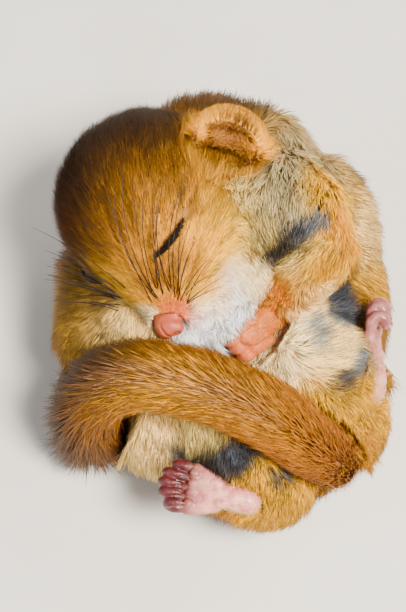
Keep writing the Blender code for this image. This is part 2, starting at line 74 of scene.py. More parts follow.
def turned(directions):
    """Directions of the resting frame from the same directions as seen."""
    return unit(seen(directions) - seen((0, 0, 0)))


def frame_from(first, second):
    """Three columns: the first direction, the second made square to it, and their cross product."""
    first = unit(first)
    second = unit(second - (second @ first) * first)
    return np.stack([first, second, np.cross(first, second)], 1)


def facing(lengthwise, outward):
    """Three columns: a direction lengthwise, the one beside it, and the outward one made square to the
    first."""
    lengthwise = unit(lengthwise)
    outward = unit(outward - (outward @ lengthwise) * lengthwise)
    return np.stack([lengthwise, np.cross(outward, lengthwise), outward], 1)


HEAD_TURN = frame_from(turned((0.148, -0.939, 0.312)), turned((0.72, 0.32, 0.62)))
HEAD_MIDDLE = seen((-8.7, 11.4, 4.4))


def on_head(places):
    """Points of the resting frame from places on the head: forward to the nose, left, and up to the crown."""
    return HEAD_MIDDLE + np.asarray(places, float) @ HEAD_TURN.T


# Waves are this many times finer or coarser than the length asked for, and their mean is raised this much.
WAVE_MIX = (0.7, 1.5)
WAVE_GAIN = 1.8


def waves(points, length, seed, count=7):
    """A smooth random vector at each point, within about one: the mean of a few sine waves near a given
    length in mm with random headings and starts, for each of the three axes."""
    draw = np.random.default_rng(seed)
    heading = unit(draw.normal(size=(3, count, 3))) * (2 * np.pi / length)
    heading *= draw.uniform(*WAVE_MIX, (3, count, 1))
    start = draw.uniform(0, 2 * np.pi, (3, count))
    return np.sin(np.einsum("nk,ack->nac", points, heading) + start).mean(2) * WAVE_GAIN


# Materials

def linear(code):
    """The linear colour of an sRGB hex code, each channel by the sRGB curve."""
    channels = np.array([int(code[k:k + 2], 16) for k in (1, 3, 5)]) / 255
    return np.where(channels <= 0.04045, channels / 12.92, ((channels + 0.055) / 1.055) ** 2.4)


def rgba(code):
    """The linear colour of an sRGB hex code, and full opacity."""
    return (*linear(code), 1.0)


def grey(level):
    """A grey of the given linear level."""
    return (level, level, level, 1.0)


def add(tree, kind, inputs=None, stops=(), **settings):
    """Adds a node with its settings, sets or links its inputs, named or numbered, and gives a ramp its
    stops, each a place and a colour."""
    made = tree.nodes.new(kind)
    for name, value in settings.items():
        setattr(made, name, value)
    for spare in stops[2:]:
        made.color_ramp.elements.new(0.5)
    for number, (place, colour) in enumerate(stops):
        made.color_ramp.elements[number].position = place
        made.color_ramp.elements[number].color = colour
    for name, value in (inputs or {}).items():
        if isinstance(value, bpy.types.NodeSocket):
            tree.links.new(value, made.inputs[name])
        else:
            made.inputs[name].default_value = value
    return made


# The settings of a node that multiplies two colours, its inputs 6 and 7, and its output
MULTIPLY = {"data_type": "RGBA", "blend_type": "MULTIPLY"}
PRODUCT = 2


def new_material(name, **inputs):
    """A material, its node tree and its shader, with the shader's own numbers set on its sockets."""
    made = bpy.data.materials.new(name)
    made.use_nodes = True
    shader = made.node_tree.nodes["Principled BSDF"]
    for socket, value in inputs.items():
        shader.inputs[socket.replace("_", " ")].default_value = value
    return made, made.node_tree, shader


def hair_material(name, root, middle, roughness):
    """Dormouse hair: a shaft of keratin, slate at the root and full of warm pigment further out, so that a
    parting shows dark. The eye gets a soft streaked gleam along the lie, from smooth overlapping scales."""
    made, tree, shader = new_material(name, Roughness=roughness, IOR=1.55, Specular_IOR_Level=0.2)
    tint = add(tree, "ShaderNodeAttribute", attribute_name="coat").outputs["Color"]
    along = add(tree, "ShaderNodeAttribute", attribute_name="along").outputs["Fac"]
    shade = add(tree, "ShaderNodeValToRGB", {"Fac": along},
                [(0.0, (*root, 1.0)), (middle, grey(1.0)), (1.0, grey(1.12))]).outputs["Color"]
    tone = add(tree, "ShaderNodeMix", {0: 1.0, 6: tint, 7: shade}, **MULTIPLY).outputs[PRODUCT]
    tree.links.new(tone, shader.inputs["Base Color"])
    return made


def skin_material():
    """Skin under a dense coat: it looks like the slate wool that covers it, in the coat's own markings,
    as matte down combed in fine strokes about 0.3 mm apart."""
    made, tree, shader = new_material("downy_skin", Roughness=0.85, IOR=1.45, Sheen_Weight=0.2)
    tint = add(tree, "ShaderNodeAttribute", attribute_name="coat").outputs["Color"]
    place = add(tree, "ShaderNodeTexCoord").outputs["Object"]
    strokes = add(tree, "ShaderNodeTexNoise", {
        "Vector": place, "Scale": 1 / (0.3 * MM), "Detail": 5.0, "Roughness": 0.7}).outputs["Fac"]
    down = add(tree, "ShaderNodeValToRGB", {"Fac": strokes},
               [(0.3, grey(0.7)), (0.7, grey(1.0))]).outputs["Color"]
    tone = add(tree, "ShaderNodeMix", {0: 1.0, 6: tint, 7: down}, **MULTIPLY).outputs[PRODUCT]
    tree.links.new(tone, shader.inputs["Base Color"])
    bump = add(tree, "ShaderNodeBump", {"Height": strokes, "Strength": 0.6, "Distance": 0.15 * MM})
    tree.links.new(bump.outputs["Normal"], shader.inputs["Normal"])
    return made


def bare_material(name, colours, deep, roughness, crease, depth, wet):
    """Bare, moist skin: pink from the blood under it, mottled over about 1.3 mm and deeper where the
    blush_and_shade value is high: the flush of blood on the paws, and painted shade in the nose's nostrils
    and groove. It has creases of a given spacing and depth in mm and a wet gleam. Light scatters a little
    way into it."""
    made, tree, shader = new_material(
        name, Roughness=roughness, IOR=1.42, Subsurface_Weight=0.25, Subsurface_Scale=0.8 * MM,
        Coat_Weight=wet, Coat_Roughness=0.2)
    shader.inputs["Subsurface Radius"].default_value = (1.0, 0.35, 0.2)
    place = add(tree, "ShaderNodeTexCoord").outputs["Object"]
    mottle = add(tree, "ShaderNodeTexNoise", {
        "Vector": place, "Scale": 1 / (1.3 * MM), "Detail": 3.0}).outputs["Fac"]
    dark, base, light = (rgba(code) for code in colours)
    blush_and_shade = add(tree, "ShaderNodeAttribute", attribute_name="blush_and_shade").outputs["Fac"]
    flush_and_shade = add(tree, "ShaderNodeValToRGB", {"Fac": blush_and_shade},
                [(0.0, grey(1.0)), (1.0, rgba(deep))]).outputs["Color"]
    pink = add(tree, "ShaderNodeValToRGB", {"Fac": mottle},
               [(0.3, dark), (0.5, base), (0.72, light)]).outputs["Color"]
    tone = add(tree, "ShaderNodeMix", {0: 1.0, 6: pink, 7: flush_and_shade}, **MULTIPLY).outputs[PRODUCT]
    tree.links.new(tone, shader.inputs["Base Color"])
    folds = add(tree, "ShaderNodeTexVoronoi", {"Vector": place, "Scale": 1 / (crease * MM)},
                feature="DISTANCE_TO_EDGE").outputs["Distance"]
    lines = add(tree, "ShaderNodeValToRGB", {"Fac": folds},
                [(0.0, grey(0.0)), (0.12, grey(1.0))]).outputs["Color"]
    bump = add(tree, "ShaderNodeBump", {"Height": lines, "Strength": 0.5, "Distance": depth * MM})
    tree.links.new(bump.outputs["Normal"], shader.inputs["Normal"])
    return made


def claw_material():
    """Horn of a claw: translucent keratin, smooth, with faint growth lines 0.1 mm apart."""
    made, tree, shader = new_material("claw_horn", Roughness=0.5, IOR=1.55, Subsurface_Weight=0.2,
                                      Subsurface_Scale=0.4 * MM)
    place = add(tree, "ShaderNodeTexCoord").outputs["Object"]
    lines = add(tree, "ShaderNodeTexNoise", {
        "Vector": place, "Scale": 1 / (0.1 * MM), "Detail": 2.0}).outputs["Fac"]
    tone = add(tree, "ShaderNodeValToRGB", {"Fac": lines},
               [(0.35, rgba("#6e4642")), (0.65, rgba("#94685e"))]).outputs["Color"]
    tree.links.new(tone, shader.inputs["Base Color"])
    return made


def whisker_material():
    """A whisker: a stiff, dark shaft of keratin with a faint gleam, a little lighter where it thins out."""
    made, tree, shader = new_material("whisker_keratin", Roughness=0.5, IOR=1.55, Specular_IOR_Level=0.2)
    along = add(tree, "ShaderNodeAttribute", attribute_name="along").outputs["Fac"]
    tone = add(tree, "ShaderNodeValToRGB", {"Fac": along},
               [(0.0, rgba("#120d0b")), (1.0, rgba("#33261d"))]).outputs["Color"]
    tree.links.new(tone, shader.inputs["Base Color"])
    return made


def lid_material():
    """The bare edge of a closed eyelid: thin, nearly black skin, grained at 0.15 mm. It looks dull, so that
    the slit reads as a dark line."""
    made, tree, shader = new_material("lid_edge", Roughness=0.6, IOR=1.4, Specular_IOR_Level=0.1)
    place = add(tree, "ShaderNodeTexCoord").outputs["Object"]
    grain = add(tree, "ShaderNodeTexNoise", {
        "Vector": place, "Scale": 1 / (0.15 * MM), "Detail": 3.0}).outputs["Fac"]
    tone = add(tree, "ShaderNodeValToRGB", {"Fac": grain},
               [(0.35, rgba("#0d0908")), (0.7, rgba("#1c110d"))]).outputs["Color"]
    tree.links.new(tone, shader.inputs["Base Color"])
    bump = add(tree, "ShaderNodeBump", {"Height": grain, "Strength": 0.4, "Distance": 0.05 * MM})
    tree.links.new(bump.outputs["Normal"], shader.inputs["Normal"])
    return made


# Meshes from arrays

def new_piece(name, points, faces, material=None, values=None, places=None, scale=MM):
    """An object whose mesh holds the points, scaled to metres, and triangles, with named values for each
    point and each point's place on the unwrapped coat."""
    mesh = bpy.data.meshes.new(name)
    mesh.vertices.add(len(points))
    mesh.vertices.foreach_set("co", (points * scale).astype(np.float32).ravel())
    mesh.loops.add(faces.size)
    mesh.loops.foreach_set("vertex_index", faces.astype(np.int32).ravel())
    mesh.polygons.add(len(faces))
    mesh.polygons.foreach_set("loop_start", np.arange(0, faces.size, 3, dtype=np.int32))
    mesh.update(calc_edges=True)
    for key, value in (values or {}).items():
        if value.ndim == 2:
            layer = mesh.attributes.new(key, "FLOAT_COLOR", "POINT")
            layer.data.foreach_set("color", np.c_[value, np.ones(len(value))].astype(np.float32).ravel())
        else:
            layer = mesh.attributes.new(key, "FLOAT", "POINT")
            layer.data.foreach_set("value", value.astype(np.float32))
    if places is not None:
        layer = mesh.uv_layers.new(name="OFBake")
        layer.data.foreach_set("uv", places[faces.ravel()].astype(np.float32).ravel())
    mesh.shade_smooth()
    obj = bpy.data.objects.new(name, mesh)
    bpy.context.scene.collection.objects.link(obj)
    if material:
        mesh.materials.append(material)
    return obj


def grid_faces(rows, columns):
    """Two triangles for each cell of a grid that closes round its columns."""
    row, column = np.meshgrid(np.arange(rows - 1), np.arange(columns), indexing="ij")
    a = row * columns + column
    b = row * columns + (column + 1) % columns
    c, d = a + columns, b + columns
    halves = [np.stack([a, b, d], -1), np.stack([a, d, c], -1)]
    return np.concatenate([half.reshape(-1, 3) for half in halves])


def ball(centre, radii, turn=np.eye(3), rows=20, columns=28):
    """An ellipsoid: its centre and, for a height angle and an angle round, the unit vector times the
    radii."""
    height = np.linspace(-np.pi / 2, np.pi / 2, rows)[:, None]
    about = np.linspace(0, 2 * np.pi, columns, endpoint=False)[None]
    local = np.stack([np.cos(height) * np.cos(about), np.cos(height) * np.sin(about),
                      np.sin(height) + 0 * about], -1) * radii
    return local.reshape(-1, 3) @ turn.T + centre, grid_faces(rows, columns)


def marks_along(path):
    """The distance along a path at each of its points."""
    return np.r_[0, np.cumsum(np.linalg.norm(np.diff(path, axis=0), axis=1))]


def read_along(places, marks, values):
    """The vectors given at the marks of a line, read at places on it with straight steps between."""
    return np.stack([np.interp(places, marks, values[:, axis]) for axis in range(3)], 1)


def smooth_path(points, count):
    """A curve through the points by cubic steps, each point's slope being half the way between its
    neighbours, read at a number of even shares."""
    points = np.asarray(points, float)
    slopes = np.gradient(points, axis=0)
    share = np.linspace(0, len(points) - 1, count)
    index = np.minimum(share.astype(int), len(points) - 2)
    s = (share - index)[:, None]
    start, end, m0, m1 = points[index], points[index + 1], slopes[index], slopes[index + 1]
    return ((2 * s**3 - 3 * s**2 + 1) * start + (s**3 - 2 * s**2 + s) * m0
            + (3 * s**2 - 2 * s**3) * end + (s**3 - s**2) * m1)


# Rings of a tube start beside this direction, and each end is rounded off by a few rings.
TUBE_START = (0.3, 0.2, 0.93)
CAP_RINGS = 4


def tube(path, radii, along=24, around=16):
    """A round profile carried along a path through the points: at each share of it a circle of the radius
    there, square to the path, closed at both ends by half balls."""
    centres = smooth_path(path, along)
    size = np.interp(np.linspace(0, 1, along), np.linspace(0, 1, len(radii)), radii)
    ahead = unit(np.gradient(centres, axis=0))
    cap = np.linspace(0, np.pi / 2, CAP_RINGS, endpoint=False)
    first = centres[0] - ahead[0] * size[0] * np.cos(cap)[:, None]
    last = centres[-1] + ahead[-1] * size[-1] * np.cos(cap[::-1])[:, None]
    centres = np.concatenate([first, centres, last])
    size = np.concatenate([size[0] * np.sin(cap), size, size[-1] * np.sin(cap[::-1])])
    ends = np.repeat(ahead[:1], CAP_RINGS, 0), np.repeat(ahead[-1:], CAP_RINGS, 0)
    ahead = np.concatenate([ends[0], ahead, ends[1]])
    side = unit(np.cross(ahead, TUBE_START))
    over = np.cross(side, ahead)
    about = np.linspace(0, 2 * np.pi, around, endpoint=False)
    ring = np.cos(about)[None, :, None] * side[:, None] + np.sin(about)[None, :, None] * over[:, None]
    points = centres[:, None] + size[:, None, None] * ring
    return points.reshape(-1, 3), grid_faces(len(centres), around)


def joined(parts):
    """Several (points, faces) as one."""
    starts = np.cumsum([0] + [len(points) for points, _ in parts[:-1]])
    faces = np.concatenate([faces + start for (_, faces), start in zip(parts, starts)])
    return np.concatenate([points for points, _ in parts]), faces


def middles(values, faces):
    """The mean of the values at each triangle's corners."""
    return values[faces].mean(1)


def normals_of(points, faces):
    """The mean of the faces' normals at each point, each face weighted by its area."""
    corners = points[faces]
    across = np.cross(corners[:, 1] - corners[:, 0], corners[:, 2] - corners[:, 0])
    total = np.zeros_like(points)
    for corner in range(3):
        np.add.at(total, faces[:, corner], across)
    return unit(total)


def mesh_arrays(mesh, scale=1.0):
    """The points and triangles of a mesh, its points divided by a scale."""
    mesh.calc_loop_triangles()
    points = np.empty(len(mesh.vertices) * 3, np.float32)
    mesh.vertices.foreach_get("co", points)
    faces = np.empty(len(mesh.loop_triangles) * 3, np.int32)
    mesh.loop_triangles.foreach_get("vertices", faces)
    return points.reshape(-1, 3).astype(float) / scale, faces.reshape(-1, 3)


def node_arrays(name):
    """The points and triangles of a CAD node in mm, corners that lie within a micron made one."""
    points, faces = mesh_arrays(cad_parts[name].data, MM)
    places = np.round(points, 3)
    _, first, index = np.unique(places, axis=0, return_index=True, return_inverse=True)
    return points[first], index.reshape(-1)[faces]


def fused(parts, cell, smooth):
    """One closed surface round overlapping ones: their union, sampled on a lattice of the given cell, with
    each point then moved half way to the mean of its neighbours a few times."""
    obj = new_piece("fused", *joined(parts), scale=1.0)
    remesh = obj.modifiers.new("fuse", "REMESH")
    remesh.mode = "VOXEL"
    remesh.voxel_size = cell
    soften = obj.modifiers.new("soften", "SMOOTH")
    soften.factor = 0.5
    soften.iterations = smooth
    graph = bpy.context.evaluated_depsgraph_get()
    result = mesh_arrays(bpy.data.meshes.new_from_object(obj.evaluated_get(graph)))
    bpy.data.objects.remove(obj)
    return result


# The coat: where it is marked, how long it is and how it lies

# Its tints: golden and brown guard hairs over slate down, and the cream of the underside. Some zones noted
# below are also darkened as painted shade.
TINTS = {
    "umber": "#583c22", "walnut": "#6d4624", "bronze": "#8c6526", "gold": "#b88826", "bright_gold": "#d19c2e",
    "apricot": "#eebb50", "honey": "#e0b25a", "russet": "#c27a1c", "cinnamon": "#a67a34", "drab": "#a99d80",
    "olive_painted_shade": "#8d7346", "buff": "#dcc690", "cream": "#ffe2ac", "ivory": "#ffeac0", "white": "#ffffff",
    "peach": "#d8a048", "rose": "#c06c4e", "slate": "#45484e", "deep_slate": "#222428", "smoke": "#7a7d80",
}
# On the face the hair lies away from the nose, and elsewhere a zone gives its lie as seen.
FROM_NOSE = None
# Name: place as seen (across and along, with the height found on the skin, or all three), reach in mm,
# tint of the hair tips, hair length in mm, depth of the coat in mm, lie
COAT = {
    # crown_far and crown_left: the crown's own dark brown, made darker still as painted shade where the head
    # turns away from the light.
    "crown_far": ((-15.9, 15.2), 5.0, "umber", 2.5, 0.9, FROM_NOSE),
    "crown_left": ((-17.6, 9.0), 3.8, "walnut", 2.5, 0.9, FROM_NOSE),
    "crown": ((-9.6, 20.6), 4.6, "umber", 2.5, 0.9, FROM_NOSE),
    "crown_middle": ((-11.4, 16.4), 3.6, "bronze", 2.1, 0.6, FROM_NOSE),
    "crown_right": ((-4.8, 19.4), 3.2, "cinnamon", 2.1, 0.6, FROM_NOSE),
    "forehead": ((-8.2, 11.2), 4.0, "gold", 1.8, 0.5, FROM_NOSE),
    "forehead_left": ((-11.8, 9.0), 2.2, "bronze", 1.8, 0.5, FROM_NOSE),
    "forehead_low": ((-8.8, 5.4), 2.8, "bright_gold", 1.3, 0.4, FROM_NOSE),
    "bridge": ((-8.0, 3.0), 1.4, "gold", 1.0, 0.4, FROM_NOSE),
    "far_brow": ((-14.4, 7.4), 2.6, "bronze", 1.8, 0.5, FROM_NOSE),
    "far_lid": ((-13.4, 3.6), 1.6, "honey", 0.9, 0.4, FROM_NOSE),
    "near_brow": ((-4.4, 12.6), 3.0, "gold", 1.8, 0.5, FROM_NOSE),
    "brow_shadow": ((-3.8, 10.1), 0.8, "bronze", 1.2, 0.4, FROM_NOSE),
    "near_lid": ((-6.6, 8.6), 1.2, "bright_gold", 0.8, 0.4, FROM_NOSE),
    # under_lid: painted shadow of the whiskers, darker than the golden around it below the near eye.
    "under_lid": ((-4.9, 4.6), 1.3, "cinnamon", 0.9, 0.4, FROM_NOSE),
    "muzzle": ((-7.6, 1.4), 1.8, "peach", 0.8, 0.3, FROM_NOSE),
    "muzzle_near": ((-3.4, 3.4), 1.6, "bright_gold", 1.0, 0.3, FROM_NOSE),
    "muzzle_far": ((-10.6, 1.8), 2.0, "honey", 1.0, 0.3, FROM_NOSE),
    "nose_fringe": ((-5.5, -0.3), 1.1, "rose", 0.35, 0.2, FROM_NOSE),
    "nose_side": ((-4.4, -0.8), 1.0, "rose", 0.35, 0.2, FROM_NOSE),
    "lip_far": ((-8.4, -1.4), 1.1, "ivory", 0.8, 0.3, FROM_NOSE),
    "near_cheek": ((-2.1, 7.2), 3.0, "apricot", 1.7, 0.5, FROM_NOSE),
    "cheek_back": ((-0.4, 10.8), 2.4, "honey", 2.2, 0.6, FROM_NOSE),
    "lip_near": ((-2.4, 1.8), 1.8, "honey", 1.2, 0.3, FROM_NOSE),
    # far_cheek: the cheek's golden, darkened as painted shade on the far side of the face.
    "far_cheek": ((-15.6, 1.0), 3.6, "olive_painted_shade", 2.0, 0.6, FROM_NOSE),
    "ear_base": ((-2.4, 15.0), 2.2, "gold", 1.8, 0.5, FROM_NOSE),
    "nape": ((-0.9, 23.6), 4.5, "bronze", 3.0, 0.9, (0.1, 0.8, -0.8)),
    "shoulder_inner": ((2.0, 14.3), 2.6, "buff", 2.8, 0.9, (0.08, -1, 0.1)),
    "shoulder": ((5.7, 14.4), 3.4, "drab", 2.9, 1.0, (-0.05, -1, 0.1)),
    "shoulder_top": ((8.6, 18.6), 4.0, "drab", 3.0, 1.0, (-0.25, -1, 0.3)),
    "shoulder_outer": ((11.6, 14.4), 2.6, "honey", 2.8, 0.9, (-0.6, -0.8, 0.2)),
    "shoulder_low": ((2.6, 9.4), 2.2, "buff", 2.6, 0.9, (0.5, -0.85, 0)),
    "parting": ((6.4, 8.0), 1.2, "deep_slate", 1.8, 1.0, (0.4, -0.9, -0.4)),
    "parting_end": ((5.2, 7.0), 1.1, "deep_slate", 1.5, 1.0, (0.4, -0.9, -0.4)),
    "parting_upper": ((8.6, 9.4), 1.1, "slate", 2.2, 1.0, (-0.5, -0.9, 0)),
    "parting_far": ((10.2, 10.6), 0.8, "smoke", 2.4, 1.0, (-0.5, -0.9, 0)),
    "below_parting": ((9.0, 6.2), 2.0, "buff", 2.6, 0.8, (-0.95, -0.35, 0)),
    "throat": ((0.9, 0.8), 2.9, "white", 2.2, 0.7, (0.4, -0.9, 0.1)),
    "throat_low": ((-2.0, -1.8), 2.2, "white", 2.0, 0.7, (0.3, -0.9, 0.1)),
    "throat_right": ((3.4, 4.0), 1.8, "ivory", 2.4, 0.7, (0.5, -0.8, 0.1)),
    "forearm_top": ((12.8, 10.4), 1.7, "peach", 2.2, 0.6, (-0.05, -1, 0.1)),
    "forearm_middle": ((10.6, 5.0), 1.6, "peach", 2.0, 0.5, (-0.45, -0.9, 0.1)),
    "forearm_low": ((7.0, 2.4), 2.2, "russet", 1.5, 0.4, (-0.55, -0.85, 0)),
    "forearm_end": ((5.2, 2.0), 1.5, "russet", 1.3, 0.4, (-0.55, -0.85, 0)),
    "wrist": ((4.4, -0.2), 1.3, "rose", 0.7, 0.2, (-0.6, -0.8, 0)),
    "flank": ((16.8, 9.6), 3.6, "cream", 3.2, 1.0, (0.9, -0.25, -0.4)),
    "flank_low": ((17.6, 4.0), 3.0, "honey", 3.0, 1.0, (0.9, -0.3, -0.5)),
    "knee": ((7.3, -2.0), 2.4, "ivory", 2.6, 0.8, (0.95, 0.2, -0.1)),
    "knee_top": ((10.4, 1.6), 2.0, "cream", 2.6, 0.8, (0.9, 0.35, -0.1)),
    "knee_low": ((5.6, -6.0), 2.2, "ivory", 2.4, 0.7, (0.35, -0.95, 0)),
    "shank": ((10.6, -5.0), 1.8, "cream", 2.6, 0.8, (0.9, 0.3, -0.1)),
    "slate_inner": ((13.0, -0.6), 1.1, "slate", 1.9, 0.8, (0.9, 0.3, -0.2)),
    "slate_upper": ((12.2, 1.4), 0.9, "slate", 1.9, 0.8, (0.7, 0.6, -0.2)),
    "slate_left": ((11.2, -0.6), 0.9, "smoke", 2.1, 0.8, (0.9, 0.4, -0.1)),
    "slate_middle": ((9.6, -3.8), 0.8, "smoke", 2.1, 0.8, (0.8, 0.5, -0.1)),
    "slate_middle_up": ((8.8, -2.0), 0.7, "smoke", 2.1, 0.8, (0.8, 0.5, -0.1)),
    "slate_lower": ((12.4, -7.6), 0.9, "slate", 2.0, 0.8, (0.8, 0.5, -0.1)),
    "slate_lower_up": ((14.0, -6.2), 0.9, "smoke", 2.0, 0.8, (0.8, 0.5, -0.1)),
    "thigh": ((11.0, -10.4), 2.8, "honey", 2.2, 0.7, (0.3, -0.95, 0)),
    "haunch": ((15.4, -12.4), 3.6, "honey", 1.9, 0.8, (0.6, -0.8, -0.3)),
    "haunch_low": ((14.0, -15.8), 3.2, "gold", 1.9, 0.8, (0.5, -0.85, -0.3)),
    "rump": ((5.4, -20.8), 3.6, "honey", 2.0, 0.8, (-0.2, -0.9, -0.4)),
    "rump_left": ((-0.9, -22.2), 3.2, "gold", 2.2, 0.8, (-0.3, -0.9, -0.4)),
    "rump_parting": ((6.4, -17.6), 0.9, "slate", 2.0, 0.8, (0.2, -1, 0)),
    "belly": ((-8.6, -15.0), 3.2, "cream", 3.0, 1.0, (-0.2, -1, 0)),
    "belly_low": ((-10.2, -18.4), 3.0, "buff", 2.6, 1.0, (-0.2, -1, -0.3)),
    "lobe": ((-3.4, -13.0), 1.8, "buff", 2.8, 0.9, (0.2, -0.95, 0)),
    # gap_right, belly_gap and gap_left: slate underfur showing below the belly lobe, darkened further as
    # painted shade in the gap.
    "gap_right": ((1.2, -15.8), 1.1, "slate", 2.0, 0.9, (0.0, -1, -0.2)),
    "belly_gap": ((-2.2, -16.2), 1.9, "deep_slate", 2.0, 0.9, (0.0, -1, -0.2)),
    "gap_left": ((-4.8, -15.4), 1.1, "slate", 2.0, 0.9, (0.0, -1, -0.2)),
    # shoulder_right: its tint is darkened as painted shade on the far side of the body.
    "shoulder_right": ((-15.6, -2.6), 3.6, "olive_painted_shade", 2.6, 0.9, (-0.5, -0.8, -0.2)),
    "under_chin": ((-11.7, -2.8), 2.4, "cream", 2.2, 0.7, (-0.2, -0.95, 0)),
    "back_upper": ((4.0, 14.0, -13), 12.0, "cinnamon", 3.0, 1.0, (0.6, 0.4, -0.5)),
    "back_outer": ((17.0, 2.0, -11), 10.0, "cinnamon", 3.0, 1.0, (0.2, -1, -0.1)),
    "back_low": ((6.0, -16.0, -12), 9.0, "cinnamon", 2.6, 1.0, (-0.4, -0.9, 0)),
    "back_far": ((-15.0, -4.0, -10), 9.0, "cinnamon", 2.8, 1.0, (-0.3, -0.9, -0.2)),
    "back_head": ((-16.0, 12.0, -6), 8.0, "walnut", 2.6, 0.9, (-0.6, 0.3, -0.7)),
}
REACH = np.array([zone[1] for zone in COAT.values()])
# Zones narrower than this, in mm, count for more where they meet wider ones, by this power.
BROAD = 3.2
NARROW_GAIN = 1.8
# The zones' borders wander by about this much over this length, in mm.
BORDER_WANDER = 0.3
BORDER_WAVE = 4.0
NOSE_TIP = on_head((14.5, 0, -1.0))
# Hair looks deeper than its tint where light passes through many shafts, and warm where it is golden. No
# channel of a tint falls below the last value.
DEEPEN = 1.12
CHROMA = 1.32
DARKEST = 0.004
# The height at a place is read from the points within the first distance of it, or, where there is none,
# within the second distance past the nearest one.
LOOK_ROUND = 0.5
LOOK_PAST = 0.3


def rich(colour):
    """A tint made deeper: each channel raised to a power above one, then moved away from their mean, with
    the whole tint dimmed where its strongest channel would pass one, which keeps its hue."""
    deep = colour ** DEEPEN
    mean = deep.mean(-1, keepdims=True)
    out = mean + (deep - mean) * CHROMA
    return np.clip(out / np.maximum(out.max(-1, keepdims=True), 1), DARKEST, 1)


def height_over(flat, place):
    """How far towards the eye a surface lies at a place as seen: the highest of its points near there."""
    apart = np.hypot(flat[:, 0] - place[0], flat[:, 1] - place[1])
    return flat[apart < max(LOOK_ROUND, apart.min() + LOOK_PAST), 2].max()


def seat_zones(points):
    """Each zone's place on the body: a zone given without a height lies on the skin that faces the eye."""
    flat = as_seen(points)
    places = [zone[0] for zone in COAT.values()]
    return seen([place if len(place) == 3 else (*place, height_over(flat, place)) for place in places])


def weights_at(points, centres):
    """Each zone's share at each point: it falls with the square of the distance over the zone's reach, and
    starts higher where the zone is narrow. The points are first moved by a gentle wave, which makes the
    borders wander, and the shares at a point add up to one."""
    moved = points + waves(points, BORDER_WAVE, 3) * BORDER_WANDER
    square = ((moved[:, None] - centres[None]) ** 2).sum(2)
    weight = (BROAD / np.minimum(REACH, BROAD)) ** NARROW_GAIN * np.exp(-square / REACH**2)
    weight += 1e-7 / (0.1 + square)  # so that a point far from every zone takes the nearest
    return weight / weight.sum(1, keepdims=True)


def coat_at(points, centres):
    """The coat at each point: the zones' colour, length, depth and lie by their shares there. Zones on the
    face lie away from the nose."""
    weight = weights_at(points, centres)
    colour = rich(weight @ np.array([linear(TINTS[zone[2]]) for zone in COAT.values()]))
    length, depth = (weight @ np.array([[zone[3], zone[4]] for zone in COAT.values()])).T
    fixed = np.array([turned(zone[5]) if zone[5] else np.zeros(3) for zone in COAT.values()])
    faceward = weight @ np.array([float(zone[5] is FROM_NOSE) for zone in COAT.values()])
    lie = weight @ fixed + faceward[:, None] * unit(points - NOSE_TIP)
    return colour, length, depth, unit(lie)


# The skin

FLESH = [
    "head", "lower_jaw", "neck", "throat", "chest", "hindquarters", "upper_arm_left", "upper_arm_right",
    "forearm_left", "forearm_right", "thigh_left", "thigh_right", "shank_left", "shank_right",
]
# The middle of the tail as seen, from its root to its tip, and the radii there without hair and with it
TAIL_PATH = [
    (12.6, -17.2, 0.4), (11.8, -16.5, 4.2), (9.6, -14.9, 7.6), (6.6, -12.6, 10.0), (2.2, -10.2, 10.8),
    (-2.8, -8.4, 10.2), (-7.8, -7.6, 8.6), (-11.8, -8.2, 6.0), (-14.4, -9.9, 3.0), (-15.6, -12.2, -0.6),
    (-15.6, -14.4, -4.2),
]
TAIL_CORE_RADII = [2.8, 2.7, 2.5, 2.3, 2.2, 2.1, 2.0, 1.8, 1.5, 1.1, 0.7]
TAIL_HAIR_RADII = [3.6, 3.9, 4.2, 4.3, 4.3, 4.3, 4.4, 4.7, 5.0, 4.8, 4.2]
# Nodes are swollen this much before they are fused, which closes the gaps between them.
SWELL = 0.35
SKIN_CELL = 0.36
# What lies this near to the tail's core is tail, from this far along it, past where it leaves the rump.
TAIL_SKIN = 0.6
TAIL_START = 5.0
TAIL_STEPS = 240


def make_skin():
    """One skin over the flesh: every node swollen a little, fused and softened, then moved in along its
    normals by the swelling and the depth of the coat there. Gives its points and triangles, and the zones'
    places on it."""
    parts = []
    for name in FLESH + ["eye_left", "eye_right"]:
        points, faces = node_arrays(name)
        parts.append((points + normals_of(points, faces) * SWELL, faces))
    parts.append(tube(seen(TAIL_PATH), np.array(TAIL_CORE_RADII) + SWELL, along=80, around=28))
    points, faces = fused(parts, SKIN_CELL, 3)
    tail = on_tail(points)
    centres = seat_zones(points[~tail])
    depth = np.where(tail, 0.0, coat_at(points, centres)[2])
    points = points - normals_of(points, faces) * (SWELL + depth)[:, None]
    return points, faces, seat_zones(points[~tail])


def on_tail(points):
    """Whether each point lies on the tail: near enough to its core, and past the place where it starts."""
    path = smooth_path(seen(TAIL_PATH), TAIL_STEPS)
    apart = np.full(len(points), np.inf)
    nearest = np.zeros(len(points), int)
    for index, place in enumerate(path):
        distance = np.linalg.norm(points - place, axis=1)
        closer = distance < apart
        apart[closer] = distance[closer]
        nearest[closer] = index
    shares = np.linspace(0, 1, len(TAIL_CORE_RADII))
    core = np.interp(nearest / (TAIL_STEPS - 1), shares, TAIL_CORE_RADII)
    return (apart < core + TAIL_SKIN) & (marks_along(path)[nearest] > TAIL_START)


# The margin left free round the unwrapped coat, as a share of the map
MAP_EDGE = 0.01


def unwrapped(points):
    """A place on the unwrapped coat for each point of the body: its angle round the middle of the body and
    the sine of its height angle, which keeps areas even. The body has the lower four fifths of the map."""
    out = unit(points - seen((0.4, 1.3, -2.0)))
    turn = np.arctan2(out[:, 1], out[:, 0]) / (2 * np.pi) + 0.5
    return np.stack([MAP_EDGE + 0.97 * turn, MAP_EDGE + 0.8 * (out[:, 2] * 0.5 + 0.5)], 1)


# Hair

